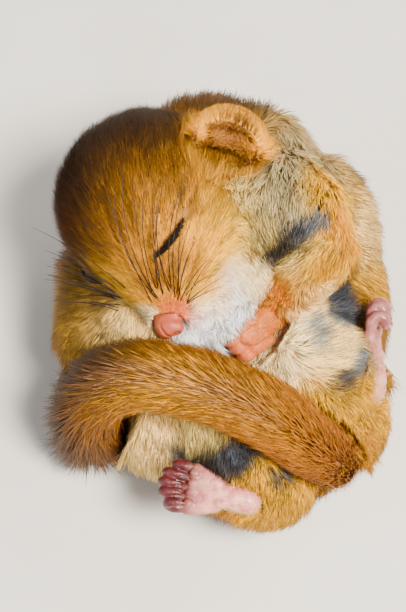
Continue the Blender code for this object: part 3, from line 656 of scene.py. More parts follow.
# A tuft's width at a share s of its length is its root's width less this share times s squared. Its section
# is this share of its width high, and its root goes this far into the skin, in mm.
TAPER = 0.7
HEIGHT_SHARE = 0.42
ROOT_DEPTH = 0.12
# The side of a tuft's patch of the unwrapped coat, as a share of the map
PATCH = 0.003
# Hair stays this far off the floor, in mm.
FLOOR_GAP = 0.03
# The width of the finest tufts, in mm
FINE_WIDTH = 0.055


def rooted(points, faces, count, density, draw):
    """Roots spread over triangles in proportion to their area times a density: for each a point at random
    in its triangle, and the triangle's number."""
    corners = points[faces]
    across = np.cross(corners[:, 1] - corners[:, 0], corners[:, 2] - corners[:, 0])
    area = np.linalg.norm(across, axis=1) / 2
    chance = area * density
    picked = draw.choice(len(faces), count, p=chance / chance.sum())
    a, b = draw.random((2, count, 1))
    fold = a + b > 1
    a, b = np.where(fold, 1 - a, a), np.where(fold, 1 - b, b)
    chosen = corners[picked]
    places = chosen[:, 0] + a * (chosen[:, 1] - chosen[:, 0]) + b * (chosen[:, 2] - chosen[:, 0])
    return places, picked


def tufts(roots, normals, lie, length, width, lift, rings, draw, clump=0.0, cell=1.2, curl=0.12):
    """Solid tapered tufts. At a share s of its length a tuft's axis is its root, plus the length times s
    along the lie, plus the length times lift times (s - s squared / 2) out from the skin, plus a curl
    sideways with s squared. Tips in one cell of space draw together by the clump share. Each section is a
    triangle whose width falls to a point at the tip, and every tuft has as many sections as rings says."""
    count = len(roots)
    normals = unit(normals)
    along = unit(lie - (lie * normals).sum(1, keepdims=True) * normals)
    side = np.cross(normals, along)
    bend = draw.normal(0, curl, (count, 1))
    tips = roots + length[:, None] * (along + normals * (lift * 0.5)[:, None] + side * bend)
    key = np.floor((roots + waves(roots, 3 * cell, 5) * cell) / cell).astype(int)
    _, group = np.unique(key, axis=0, return_inverse=True)
    group = group.reshape(-1)
    number = np.bincount(group)[:, None]
    mean = np.stack([np.bincount(group, tips[:, axis]) for axis in range(3)], 1) / number
    pull = (mean[group] - tips) * (clump * draw.uniform(0.5, 1.2, (count, 1)))
    share = np.arange(rings) / rings
    s = share[None, :, None]
    out = normals[:, None] * (lift[:, None, None] * (s - s**2 / 2))
    path = along[:, None] * s + out + side[:, None] * bend[:, None] * s**2
    axis = roots[:, None] + length[:, None, None] * path
    axis = axis + pull[:, None] * s**2
    tips = tips + pull
    wide = width[:, None, None] * (1 - share**2 * TAPER)[None, :, None]
    half = side[:, None] * wide * 0.5
    over = normals[:, None] * wide * HEIGHT_SHARE
    ring = np.stack([axis + half, axis - half, axis + over], 2)
    ring[:, 0] -= normals[:, None] * ROOT_DEPTH
    points = np.concatenate([ring.reshape(count, rings * 3, 3), tips[:, None]], 1)
    faces = [(0, 1, 2)]
    for step in range(rings - 1):
        for corner in range(3):
            a, b = step * 3 + corner, step * 3 + (corner + 1) % 3
            faces += [(a, a + 3, b), (b, a + 3, b + 3)]
    last = (rings - 1) * 3
    faces += [(last + corner, rings * 3, last + (corner + 1) % 3) for corner in range(3)]
    faces = np.array(faces)[:, ::-1]
    size = rings * 3 + 1
    every = (faces[None] + (np.arange(count) * size)[:, None, None]).reshape(-1, 3)
    stretch = np.tile(np.r_[np.repeat(share, 3), 1.0], count)
    return points.reshape(-1, 3), every, stretch, size


def patches(places, size):
    """Each tuft's patch of the unwrapped coat: its root's place, with its points set out on a small square
    in the order of their numbers, kept inside the map."""
    step = np.arange(size)
    offset = np.stack([(step % 3) / 2 - 0.5, step / (size - 1) - 0.5], 1) * PATCH
    return np.clip((places[:, None] + offset[None]).reshape(-1, 2), 0.001, 0.999)


def settled(points):
    """Points kept off the floor: those below it are laid flat on it."""
    points = points.copy()
    points[:, 2] = np.maximum(points[:, 2], FLOOR_GAP)
    return points


def coat_piece(name, roots, normals, lie, length, width, lift, rings, colour, places, material, slot, draw,
               **more):
    """A piece of coat from its roots, riding on the body. More holds the tufts' clump, cell and curl."""
    points, faces, stretch, size = tufts(roots, normals, lie, length, width, lift, rings, draw, **more)
    values = {"coat": np.repeat(colour, size, 0), "along": stretch}
    obj = new_piece(name, settled(points), faces, material, values, patches(places, size))
    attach(obj, "root")


# The spread of the tufts' warmth, the share of it that green gets, and how far a guard hair goes from the
# tint around it to its own dark colour
WARMTH = 0.04
GREEN_SHARE = 0.4
GUARD_SHARE = 0.7


def varied(colour, draw, spread, dark=0.0, dark_colour="#2c1d10"):
    """Each tuft's own shade: its colour times a random brightness and warmth, dimmed where a channel would
    pass one, and a share of dark guard hairs. Also says which are dark."""
    count = len(colour)
    shade = np.exp(draw.normal(0, spread, (count, 1)))
    warm = 1 + draw.normal(0, WARMTH, (count, 3)) * (1, GREEN_SHARE, 1)
    out = colour * shade * warm
    out = out / np.maximum(out.max(-1, keepdims=True), 1)
    pick = draw.random(count) < dark
    out[pick] = out[pick] * (1 - GUARD_SHARE) + linear(dark_colour) * GUARD_SHARE
    return out, pick


# Closed eyes, the left one as 1 and the right one as -1: the middle of each lid's bulge, and the way that
# its slit runs on the head, back and out from the nose
LIDS = {1: on_head((5.8, 5.3, 3.06)), -1: on_head((6.0, -5.4, 2.8))}
SLIT_WAY = {1: (-0.66, 0.69, -0.26), -1: (-0.58, -0.75, -0.32)}
# In mm: the bulge's height and half its length, and how far the slit runs to each side, sags in the middle
# and lies over the bulge
LID_BULGE = 2.0
LID_REACH = 3.6
SLIT_HALF_LENGTH = 2.75
SLIT_SAG = 0.3
SLIT_LIFT = 0.05
SLIT_STEPS = 25


def slit_path(side):
    """The slit of a closed eye: a line across the lids that sags a little in the middle, on their bulge,
    which is an arc of an ellipse. Gives its points and the columns along it, beside it and outward."""
    outward = unit(HEAD_TURN @ np.array([0.42, 0.68 * side, 0.60]))
    turn = facing(HEAD_TURN @ np.array(SLIT_WAY[side]), outward)
    share = np.linspace(-1, 1, SLIT_STEPS)
    along = SLIT_HALF_LENGTH * share
    rise = LID_BULGE * np.sqrt(1 - (along / LID_REACH) ** 2) + SLIT_LIFT
    return LIDS[side] + np.stack([along, -SLIT_SAG * (1 - share**2), rise], 1) @ turn.T, turn


def distance_to(points, path):
    """The distance from each point to the nearest point of a path."""
    nearest = np.full(len(points), np.inf)
    for place in path:
        nearest = np.minimum(nearest, np.linalg.norm(points - place, axis=1))
    return nearest


# The face reaches this far from the nose's tip, in mm. Its strands are set out on a ball of the second
# radius round the nose, and change slowly outwards by the share.
FACE_REACH = 22
FACE_BALL = 14
FACE_SHARE = 0.12
# How far places on the body are squeezed along the lie
SQUEEZE = 0.85
# The waves' length in mm, seed and height: strands of the body, strands of the face, and patches over all
BODY_STRANDS = (1.3, 77, 0.20)
FACE_STRANDS = (1.1, 78, 0.42)
FINE_PATCHES = (1.6, 79, 0.10)


def brightness(places, size, seed, height):
    """The logarithm of the brightness at places: the first part of a wave times a height."""
    return height * waves(places, size, seed)[:, 0]


def streaks(roots, lie):
    """How bright each tuft is, so that the coat shows strands along its lie: waves over places squeezed
    along the lie, and on the face over the direction from the nose, with fine patches over all."""
    along = (roots * lie).sum(1, keepdims=True)
    from_nose = roots - NOSE_TIP
    face = np.linalg.norm(from_nose, axis=1) < FACE_REACH
    on_body = brightness(roots - SQUEEZE * lie * along, *BODY_STRANDS)
    on_face = brightness(FACE_BALL * unit(from_nose) + FACE_SHARE * roots, *FACE_STRANDS)
    return np.exp(np.where(face, on_face, on_body) + brightness(roots, *FINE_PATCHES))


# The pieces whose hair is pale down to its root, and those whose hair lies in fine, even strands, and how
# far tips draw together there and elsewhere
PALE = ("coat_throat", "coat_leg", "coat_belly")
FINE = ("coat_shoulder", "coat_flank", "coat_arm")
FINE_CLUMP = 0.07
CLUMP = 0.15
# How far tufts of pale hair, and of other hair, vary in brightness
PALE_SPREAD = 0.08
SPREAD = 0.16
# Each piece of the coat: its share of dark hairs, the sections along a tuft, its slot and its zones
REGIONS = {
    "coat_crown": (0.36, 1, "fur_orange", "crown_far crown_left crown crown_middle crown_right forehead_left"
                   " far_brow"),
    "coat_face": (0.25, 1, "fur_orange", "forehead forehead_low bridge near_brow brow_shadow near_lid"
                  " under_lid far_lid muzzle muzzle_near muzzle_far nose_fringe nose_side lip_far"),
    "coat_cheek": (0.05, 1, "fur_orange", "near_cheek cheek_back lip_near far_cheek ear_base"),
    "coat_neck": (0.15, 1, "fur_buff", "nape back_head"),
    "coat_shoulder": (0.12, 2, "fur_buff", "shoulder_inner shoulder shoulder_top shoulder_outer"
                      " shoulder_low parting parting_end parting_upper parting_far below_parting"),
    "coat_arm": (0.03, 2, "fur_orange", "forearm_top forearm_middle forearm_low forearm_end wrist"),
    "coat_throat": (0.0, 2, "fur_white", "throat throat_low throat_right"),
    "coat_flank": (0.05, 2, "fur_buff", "flank flank_low"),
    "coat_leg": (0.03, 2, "fur_buff", "knee knee_top knee_low shank slate_inner slate_upper slate_left"
                 " slate_middle slate_middle_up slate_lower slate_lower_up"),
    "coat_haunch": (0.08, 2, "fur_orange", "thigh haunch haunch_low"),
    "coat_rump": (0.08, 2, "fur_orange", "rump rump_left rump_parting"),
    "coat_belly": (0.06, 2, "fur_buff", "belly belly_low lobe belly_gap gap_left gap_right shoulder_right"
                   " under_chin"),
    "coat_back": (0.12, 1, "fur_orange", "back_upper back_outer"),
    "coat_underside": (0.12, 1, "fur_orange", "back_low back_far"),
}
TUFT_COUNT = 150000
# Hair of the first length in mm stands as thick as the count says on the whole, and shorter hair thicker by
# this power of their ratio.
USUAL_LENGTH = 3.0
THICKER = 1.3
# The share of tufts on the side that faces away from the photo's view, by the slope where it starts, and
# against the floor, up to the height in mm
AWAY_SLOPE = -0.2
AWAY_SHARE = 0.45
FLOOR_HEIGHT = 0.25
FLOOR_SHARE = 0.05
# In mm: the skin left bare at the nose's middle and along the slits, and the strip in which hair shortens
# towards a slit, down to the last share of its length
NOSE_MIDDLE = (14.0, 0, -0.8)
NOSE_BARE = 1.2
SLIT_BARE = 0.36
SLIT_STRIP = 1.3
SLIT_HAIR = 0.35
# A guard hair's length and lift beside the hair around it, and the lift of pale hair
GUARD_LENGTH = 1.15
GUARD_LIFT = 1.1
PALE_LIFT = 0.75
# How the lie wanders: waves by their length in mm, seed and height, and a scatter from tuft to tuft
LIE_WAVES = ((7.0, 21, 0.14), (2.2, 22, 0.07))
LIE_SCATTER = 0.11
# The least and most of a tuft's length beside its zone's, and of its lift. The lift grows with the coat's
# depth over the hair's length, held between two limits.
LENGTHS = (0.7, 1.15)
LIFTS = (0.6, 1.25)
LIFT_GAIN = 1.8
LIFT_LIMITS = (0.1, 0.5)
# A tuft's width at its root: this many mm, and this share of its length
WIDTH = 0.05
WIDTH_SHARE = 0.022


def main_coat(points, faces, centres, materials):
    """The coat of the head and body, in pieces by region: denser where it is short, thin on the side that
    faces away, bare along the eye slits and on the nose, and shorter beside the slits. Dark guard hairs are
    a little longer."""
    draw = np.random.default_rng(11)
    middle = middles(points, faces)
    slopes = normals_of(points, faces)
    seen_side = unit(middles(slopes, faces)) @ turned((0, 0, 1)) > AWAY_SLOPE
    density = (USUAL_LENGTH / coat_at(middle, centres)[1]) ** THICKER
    density *= np.where(seen_side, 1.0, AWAY_SHARE)
    density[on_tail(middle)] = 0
    density[middle[:, 2] < FLOOR_HEIGHT] = FLOOR_SHARE
    density[distance_to(middle, [on_head(NOSE_MIDDLE)]) < NOSE_BARE] = 0
    for side in LIDS:
        density[distance_to(middle, slit_path(side)[0]) < SLIT_BARE] = 0
    roots, picked = rooted(points, faces, TUFT_COUNT, density, draw)
    normals = unit(middles(slopes, faces[picked]))
    colour, length, depth, lie = coat_at(roots, centres)
    for size, seed, height in LIE_WAVES:
        lie = lie + waves(roots, size, seed) * height
    lie = unit(lie + draw.normal(0, LIE_SCATTER, roots.shape))
    colour = colour * streaks(roots, lie)[:, None]
    length = length * draw.uniform(*LENGTHS, len(roots))
    for side in LIDS:
        length *= np.clip(distance_to(roots, slit_path(side)[0]) / SLIT_STRIP, SLIT_HAIR, 1)
    lift = LIFT_GAIN * np.clip(depth / length, *LIFT_LIMITS) * draw.uniform(*LIFTS, len(roots))
    home = np.array(list(COAT))[weights_at(roots, centres).argmax(1)]
    places = unwrapped(roots)
    for name, (dark, rings, slot, zones) in REGIONS.items():
        mine = np.isin(home, zones.split())
        pale = name in PALE
        tint, guard = varied(colour[mine], draw, PALE_SPREAD if pale else SPREAD, dark)
        reach = length[mine] * np.where(guard, GUARD_LENGTH, 1.0)
        rise = lift[mine] * np.where(guard, GUARD_LIFT, 1.0) * (PALE_LIFT if pale else 1.0)
        coat_piece(name, roots[mine], normals[mine], lie[mine], reach, WIDTH + WIDTH_SHARE * reach, rise,
                   rings, tint, places[mine], materials["white" if pale else "golden"], slot, draw,
                   clump=FINE_CLUMP if name in FINE else CLUMP, cell=0.6 if rings == 1 else 0.8)


# Colours along the tail, from its root to its tip, its dark end, and the skin between thin hair on top
TAIL_PLACES = [0.0, 0.25, 0.5, 0.75, 1.0]
TAIL_TINTS = ["#744c0c", "#a06e1a", "#c8963e", "#946826", "#74501e"]
TAIL_DARK = "#2c1c0e"
TAIL_SKIN_TINT = "#b08f82"
TAIL_PIECES = ("coat_tail_base", "coat_tail_middle", "coat_tail_tip")
TAIL_TUFTS = 13500
# What changes along the tail, as shares of its length and values there: the hair's length in mm, how far it
# fans out to the sides, how much further on the outer side, how dark it is, and how thin along the top
ALONG_TAIL = {
    "length": ([0, 0.12, 0.3, 1], [2.2, 3.0, 4.8, 6.8]),
    "fan": ([0, 0.6, 1], [0.5, 0.4, 0.85]),
    "outer": ([0.55, 0.75, 0.9, 1], [0, 0.8, 0.6, 0.1]),
    "dark": ([0.52, 0.68, 0.88, 1], [0, 1, 1, 0.4]),
    "bare": ([0.17, 0.33, 0.6, 0.78], [0, 1, 1, 0]),
}
# On the outer side: how much further the hair fans out, and the share of its length that it loses
OUTER_FAN = 0.8
OUTER_CUT = 0.36
# As in the coat of the body: the wander of the lie and its scatter, the least and most of length and lift,
# how lift grows and its limits, a tuft's width, and how far tips draw together
TAIL_WAVE = (6.0, 31, 0.12)
TAIL_SCATTER = 0.10
TAIL_LENGTHS = (0.55, 1.2)
TAIL_LIFTS = (0.3, 1.4)
TAIL_LIFT_GAIN = 1.5
TAIL_LIFT_LIMITS = (0.1, 0.9)
TAIL_WIDTH = 0.06
TAIL_WIDTH_SHARE = 0.016
TAIL_CLUMP = 0.22
# How strong the dark tint and the skin's are at most, and half the width in radians of the thin line on top
DARK_SHARE = 0.85
BARE_SHARE = 0.5
BARE_ANGLE = 0.5


def tail_coat(material):
    """The tail's hair: roots along and round the tail, lying towards its tip and splaying out to its edges
    like a feather, longer towards the tip, with fewer along the middle of the side that faces up. Near the
    tip the hair on the outer side splays more and is shorter, and the hair is darkest there."""
    draw = np.random.default_rng(17)
    path = smooth_path(seen(TAIL_PATH), 400)
    marks = marks_along(path)
    ahead = unit(np.gradient(path, axis=0))
    toward = turned((0, 0, 1))
    shares = np.linspace(0, 1, len(TAIL_CORE_RADII))
    tints = np.array([linear(code) for code in TAIL_TINTS])
    for index, name in enumerate(TAIL_PIECES):
        place = marks[-1] * (index + draw.random(TAIL_TUFTS)) / len(TAIL_PIECES)
        angle = draw.uniform(-np.pi, np.pi, TAIL_TUFTS)
        keep = draw.random(TAIL_TUFTS) < 0.5 + 0.5 * np.abs(np.sin(angle)) ** 0.7
        place, angle = place[keep], angle[keep]
        count = len(place)
        share = place / marks[-1]
        here = {what: np.interp(share, *profile) for what, profile in ALONG_TAIL.items()}
        centre = read_along(place, marks, path)
        along = unit(read_along(place, marks, ahead))
        up = unit(toward - (along @ toward)[:, None] * along)
        side = np.cross(along, up)
        sideways = np.sin(angle)
        out = up * np.cos(angle)[:, None] + side * sideways[:, None]
        core = np.interp(share, shares, TAIL_CORE_RADII)
        hair = np.interp(share, shares, TAIL_HAIR_RADII)
        roots = centre + out * core[:, None] * 0.97
        length = here["length"] * draw.uniform(*TAIL_LENGTHS, count)
        lift = TAIL_LIFT_GAIN * np.clip((hair - core) / length, *TAIL_LIFT_LIMITS)
        lift *= draw.uniform(*TAIL_LIFTS, count)
        outer = np.clip(sideways, 0, 1) * here["outer"]
        fan = here["fan"] + OUTER_FAN * outer
        length *= 1 - OUTER_CUT * outer
        splay = side * (np.sign(sideways) * np.abs(sideways) ** 0.6 * fan)[:, None]
        size, seed, height = TAIL_WAVE
        lie = along + splay + waves(roots, size, seed) * height
        lie = unit(lie + draw.normal(0, TAIL_SCATTER, roots.shape))
        tint = read_along(share, TAIL_PLACES, tints)
        dark = DARK_SHARE * (here["dark"] * np.clip(1.2 * sideways + 0.65, 0, 1))[:, None]
        tint = tint * (1 - dark) + linear(TAIL_DARK) * dark
        bare = np.exp(-(angle / BARE_ANGLE) ** 2)[:, None] * BARE_SHARE * (draw.random((count, 1)) < 0.7)
        bare *= here["bare"][:, None]
        tint = rich(tint * (1 - bare) + linear(TAIL_SKIN_TINT) * bare)
        tint, _ = varied(tint, draw, spread=0.24, dark=0.04, dark_colour="#4a2c14")
        turn = angle / (2 * np.pi) + 0.5
        places = np.stack([MAP_EDGE + 0.98 * share, 0.85 + 0.14 * turn], 1)
        width = TAIL_WIDTH + TAIL_WIDTH_SHARE * length
        coat_piece(name, roots, out, lie, length, width, lift, 2, tint, places, material, "fur_tail", draw,
                   clump=TAIL_CLUMP, cell=1.1, curl=0.10)


# The eyelids, ears, nose, mouth and whiskers

# How far each lip stands off the slit where the lids are fullest, and how much thicker it is there, in mm
LIP_SIZE = 0.10
# The radius of a lip at its ends, in mm
LIP_END = 0.04
LASH_COUNT = 420
LASH_TINT = "#1a100a"
# In mm, least and most: how far a lash stands off the slit where the lids are fullest, its length, and its
# lift as a share of its length
LASH_PLACES = (0.10, 0.34)
LASH_LENGTHS = (0.25, 0.5)
LASH_LIFTS = (0.2, 0.9)


def make_lids(side, lid, hair):
    """The edges of closed lids: two thin lips side by side along the slit, with a dark groove between,
    thickest towards the nose and tapered to both ends, and short dark hairs along both."""
    path, turn = slit_path(side)
    share = np.linspace(-1, 1, len(path))
    swell = (1 - share**2) ** 0.8 * (1 - 0.35 * share)
    radii = LIP_END + LIP_SIZE * swell
    parts = []
    for offset in (-LIP_SIZE, LIP_SIZE):
        shifted = path + turn[:, 1] * (offset * swell)[:, None]
        parts.append(tube(shifted, radii, along=40, around=10))
    which = "left" if side > 0 else "right"
    obj = new_piece("lid_edges_" + which, *joined(parts), lid)
    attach(obj, "root")
    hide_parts("eye_" + which)
    draw = np.random.default_rng(40 + side)
    count = LASH_COUNT
    steps = np.arange(len(path))
    at = draw.beta(1.4, 1.4, count) * steps[-1]
    near = np.interp(at, steps, swell)
    centre = read_along(at, steps, path)
    edge = np.where(draw.random(count) < 0.5, -1.0, 1.0)
    off = (edge * near * draw.uniform(*LASH_PLACES, count))[:, None]
    roots = centre + turn[:, 1] * off - turn[:, 2] * 0.08
    away = unit(centre - NOSE_TIP) * 0.7 + turn[:, 1] * (edge * 0.4)[:, None]
    away = away + draw.normal(0, 0.2, (count, 3))
    tint, _ = varied(np.repeat(linear(LASH_TINT)[None], count, 0), draw, spread=0.3)
    normals = np.repeat(turn[:, 2][None], count, 0)
    length, lift = draw.uniform(*LASH_LENGTHS, count), draw.uniform(*LASH_LIFTS, count)
    coat_piece("coat_lashes_" + which, roots, normals, away, length, np.full(count, FINE_WIDTH), lift, 2,
               tint, unwrapped(roots), hair, "fur_orange", draw)


# Each ear: its middle, the way that its cup faces, the way to its tip, its place across the unwrapped coat,
# and the seed of its hair
EARS = {
    "ear_left": (seen((0.6, 19.0, 8.6)), turned((0.0, -0.36, 0.93)), turned((0.30, 0.92, 0.3)), 0.86, 11),
    "ear_right": (on_head((-4.4, -9.8, -2.0)), HEAD_TURN @ np.array([0.25, -0.95, -0.1]),
                  HEAD_TURN @ np.array([-0.85, -0.25, 0.45]), 0.9, 12),
}
# In mm: half the height and half the width of an ear, how much the solid is thinned, and how deep its lower
# rim goes into the fur of the cheek
EAR_HALF = (3.8, 4.6)
EAR_THIN = 0.15
EAR_SINK = 2.0
EAR_TUFTS = 11000
EAR_BASE_TUFTS = 3600
# Where the cup ends and the rim starts, as a share of the way out, and over how much of it they blend; where
# the painted shadow under the upper rim runs and how wide it is
CUP_EDGE = (0.70, 0.14)
EAR_RIM_SHADOW = (0.50, 0.12)
# The third tint is painted shadow: the dark crescent under the upper rim, inside the cup.
RIM_TINT, CUP_TINT, RIM_SHADOW_TINT, ROOT_TINT = "#e2ac58", "#8e6228", "#5e421e", "#9a7230"
EAR_BASE_TINT = "#b88c3c"
# The cells in mm on which an ear, and the nose and paws, are fused
EAR_CELL = 0.22
SMALL_CELL = 0.12


def ear_tint(local, facing_out):
    """The ear's colours at places in its own frame: a pale rim, a dark crescent of painted shadow just under
    the upper rim, brown hair in the cup, and the golden of the cheek where it is rooted."""
    radial = np.hypot(local[:, 0] / EAR_HALF[0], local[:, 1] / EAR_HALF[1])
    inside = np.clip((CUP_EDGE[0] - radial) / CUP_EDGE[1], 0, 1) * np.clip(facing_out * 3 + 0.6, 0, 1)
    # Painted shadow under the upper rim: a ring part of the way out, only inside the cup, strongest towards
    # the tip.
    rim_shadow = np.exp(-((radial - EAR_RIM_SHADOW[0]) / EAR_RIM_SHADOW[1]) ** 2)
    rim_shadow = inside * rim_shadow * np.clip(local[:, 0] * 0.8 + 0.3, 0, 1)
    low = np.clip((-local[:, 0] - 0.6) / 1.8, 0, 1)
    tint = linear(RIM_TINT)
    for share, code in ((inside, CUP_TINT), (rim_shadow, RIM_SHADOW_TINT), (low, ROOT_TINT)):
        tint = tint * (1 - share)[:, None] + linear(code) * share[:, None]
    return rich(tint), inside


def make_ear(name, skin, hair, body_points, body_faces):
    """An ear: the solid's cup softened, short pale hair on its rim and back, long strands that rise from its
    root and fill the cup, and longer fur on the body below it that runs up over the lower rim."""
    centre, outward, tip, place, seed = EARS[name]
    turn = facing(tip, outward)
    points, faces = fused([node_arrays(name)], EAR_CELL, 4)
    points = points - normals_of(points, faces) * EAR_THIN
    sunk = np.clip((-((points - centre) @ turn)[:, 0] - 0.2) / 2.6, 0, 1) * EAR_SINK
    points = points - turn[:, 2] * sunk[:, None]
    normals = normals_of(points, faces)
    tint, _ = ear_tint((points - centre) @ turn, normals @ turn[:, 2])
    obj = new_piece(name + "_cup", points, faces, skin, {"coat": tint})
    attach(obj, "root")
    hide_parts(name)
    draw = np.random.default_rng(seed)
    roots, picked = rooted(points, faces, EAR_TUFTS, 1.0, draw)
    count = len(roots)
    slopes = unit(middles(normals, faces[picked]))
    local = (roots - centre) @ turn
    colour, inside = ear_tint(local, slopes @ turn[:, 2])
    spread = np.where(inside > 0.5, 0.15, 0.6)[:, None] * unit(roots - centre)
    low = np.clip((0.5 - local[:, 0]) / 1.5, 0, 1)
    length = (0.8 + 1.3 * inside + 1.7 * low) * draw.uniform(0.6, 1.2, count)
    lift = (0.4 + 0.8 * low + 0.3 * inside) * draw.uniform(0.4, 1.4, count)
    tint, _ = varied(colour, draw, spread=0.16, dark=0.04)
    lie = turn[:, 0] + spread + draw.normal(0, 0.16, roots.shape)
    places = np.stack([place + 0.01 * local[:, 0], 0.83 + 0.001 * local[:, 1]], 1)
    coat_piece("coat_" + name, roots, slopes, lie, length, 0.055 + 0.02 * length, lift, 1, tint, places, hair,
               "fur_orange", draw, clump=0.12, cell=0.8)
    local = (middles(body_points, body_faces) - centre) @ turn
    density = np.exp(-((local[:, 0] + 3.5) / 1.2) ** 2 - (local[:, 1] / 2.6) ** 2)
    density *= (np.abs(local[:, 2]) < 5) * (np.abs(local[:, 1]) < 3.6)
    roots, picked = rooted(body_points, body_faces, EAR_BASE_TUFTS, density, draw)
    count = len(roots)
    slopes = unit(middles(normals_of(body_points, body_faces), body_faces[picked]))
    length = draw.uniform(1.4, 3.2, count)
    tint = np.repeat(rich(linear(EAR_BASE_TINT))[None], count, 0)
    tint, _ = varied(tint, draw, spread=0.18, dark=0.04)
    lie = turn[:, 0] + draw.normal(0, 0.16, roots.shape)
    lift = draw.uniform(0.5, 1.6, count)
    coat_piece("coat_base_of_" + name, roots, slopes, lie, length, 0.05 + 0.02 * length, lift, 1, tint,
               unwrapped(roots), hair, "fur_orange", draw, clump=0.12, cell=0.8)


# On the head: the middle of the pad's lobes, the opening of its nostrils, and the radii of a lobe, in mm
LOBES = ((12.9, 0.9, -0.6), (12.9, -0.3, -0.6))
LOBE_RADII = (1.5, 1.3, 1.1)
NOSTRILS = ((15.1, 1.05, -1.0), (15.1, -1.05, -1.0))
NOSTRIL_SIZE = 0.42
GROOVE_WIDTH = 0.14
GROOVE_DEPTH = 0.26


def make_nose(material):
    """The nose pad: a rounded body, and two lobes beside a groove pressed in along its normals. Each nostril
    is a dark spot of painted shade that falls with the square of the distance from its opening, and the
    groove is darkened with painted shade too."""
    lobes = [ball(on_head(place), LOBE_RADII, HEAD_TURN) for place in LOBES]
    points, faces = fused([node_arrays("nose")] + lobes, SMALL_CELL, 4)
    local = (points - HEAD_MIDDLE) @ HEAD_TURN
    groove = np.exp(-(local[:, 1] / GROOVE_WIDTH) ** 2) * np.clip(local[:, 0] - 13.6, 0, 1)
    points = points - normals_of(points, faces) * (GROOVE_DEPTH * groove)[:, None]
    nostril_shade = np.exp(-(distance_to(local, NOSTRILS) / NOSTRIL_SIZE) ** 2)
    # Painted shade: darkest in the nostrils' openings and weaker along the groove.
    blush_and_shade = np.clip(nostril_shade * 1.3 + 0.5 * groove, 0, 1)
    obj = new_piece("nose_pad", points, faces, material, {"blush_and_shade": blush_and_shade})
    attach(obj, "root")
    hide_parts("nose")


def make_mouth(material):
    """The closed mouth: a thin dark line from under the nose back along both sides of the jaw."""
    parts = []
    for side in (1, -1):
        path = on_head([(14.0, 0, -2.4), (13.9, 0.15 * side, -3.4), (12.6, 1.7 * side, -4.3),
                        (10.6, 3.0 * side, -4.9)])
        parts.append(tube(path, [0.10, 0.12, 0.12, 0.05], along=20, around=8))
    obj = new_piece("mouth_line", *joined(parts), material)
    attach(obj, "root")


# The fans of whiskers as seen: the line of their roots, the line of their tips, how many, and their bow
FANS = [
    ([(-7.6, 1.3), (-7.0, 2.3), (-5.7, 1.9), (-4.6, 1.5), (-3.8, 0.9)],
     [(-12.6, 12.8), (-8.9, 14.6), (-6.6, 11.2), (-4.6, 15.0), (-3.4, 9.0), (-1.4, 5.8), (-0.4, 2.8)],
     21, 0.07),
    ([(-11.5, 2.3), (-12.0, 1.2), (-11.6, 0.2)],
     [(-20.4, 8.2), (-20.2, 5.4), (-20.6, 3.4), (-18.9, 1.5), (-16.6, 0.6)], 12, -0.06),
]


# In mm: a whisker's radii from root to tip, a little over life so that they show, and how far over the skin
# its tip is held
WHISKER_RADII = [0.062, 0.056, 0.046, 0.02]
WHISKER_CLEAR = 1.6
WHISKER_SIDES = 5


def make_whiskers(points, material):
    """Whiskers: thin shafts in a fan on each side of the muzzle. Each is a curve as seen from its root to
    its tip, bowed by a share of its length, held above the skin all the way, and thins to a point."""
    flat = as_seen(points)
    draw = np.random.default_rng(5)
    parts, shares = [], []
    s = np.linspace(0, 1, 9)[:, None]
    for roots, tips, count, bow in FANS:
        for root, tip in zip(smooth_path(roots, count), smooth_path(tips, count)):
            root, tip = root + draw.normal(0, 0.35, 2), tip + draw.normal(0, 0.6, 2)
            side = np.array([root[1] - tip[1], tip[0] - root[0]]) * bow * draw.uniform(0.3, 1.4)
            across = root + (tip - root) * s + side * 4 * s * (1 - s)
            start = height_over(flat, root)
            end = max(height_over(flat, tip) + WHISKER_CLEAR, start - 5)
            chord = (start - 0.3 + (end - start) * s + 4 * s * (1 - s))[:, 0]
            skin = np.array([height_over(flat, place) for place in across])
            height = np.maximum(chord, skin + 1.7 * np.minimum(4 * s[:, 0], 1) - 0.1)
            path = seen(np.c_[across, height])
            shaft, faces = tube(path, WHISKER_RADII, along=22, around=WHISKER_SIDES)
            parts.append((shaft, faces))
            shares.append(np.repeat(np.linspace(0, 1, len(shaft) // WHISKER_SIDES), WHISKER_SIDES))
    obj = new_piece("whiskers", *joined(parts), material, {"along": np.concatenate(shares)})
    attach(obj, "root")


# Hands and feet

# A paw: what it is, its base, the place that its digits reach for, the side its pads face, length and
# width
PAWS = {
    "hand_left": ("hand", seen((5.2, -0.6, 8.5)), seen((0.2, -4.8, 7.5)), turned((-0.2, 0.3, -0.9)),
                  5.8, 4.0),
    "hand_right": ("hand", seen((-4.6, -7.2, 2.6)), seen((0.8, -5.4, 3.6)), turned((0.2, 0.3, -0.9)),
                   5.8, 4.0),
    "foot_left": ("foot", seen((16.9, -9.3, 4.8)), seen((16.3, 1.2, 6.4)), turned((0.97, 0.05, 0.15)),
                  10.8, 3.6),
    "foot_right": ("foot", seen((3.0, -21.4, 6.0)), seen((-7.2, -19.4, 4.8)), turned((0.0, 0.25, 0.96)),
                   10.6, 4.2),
}
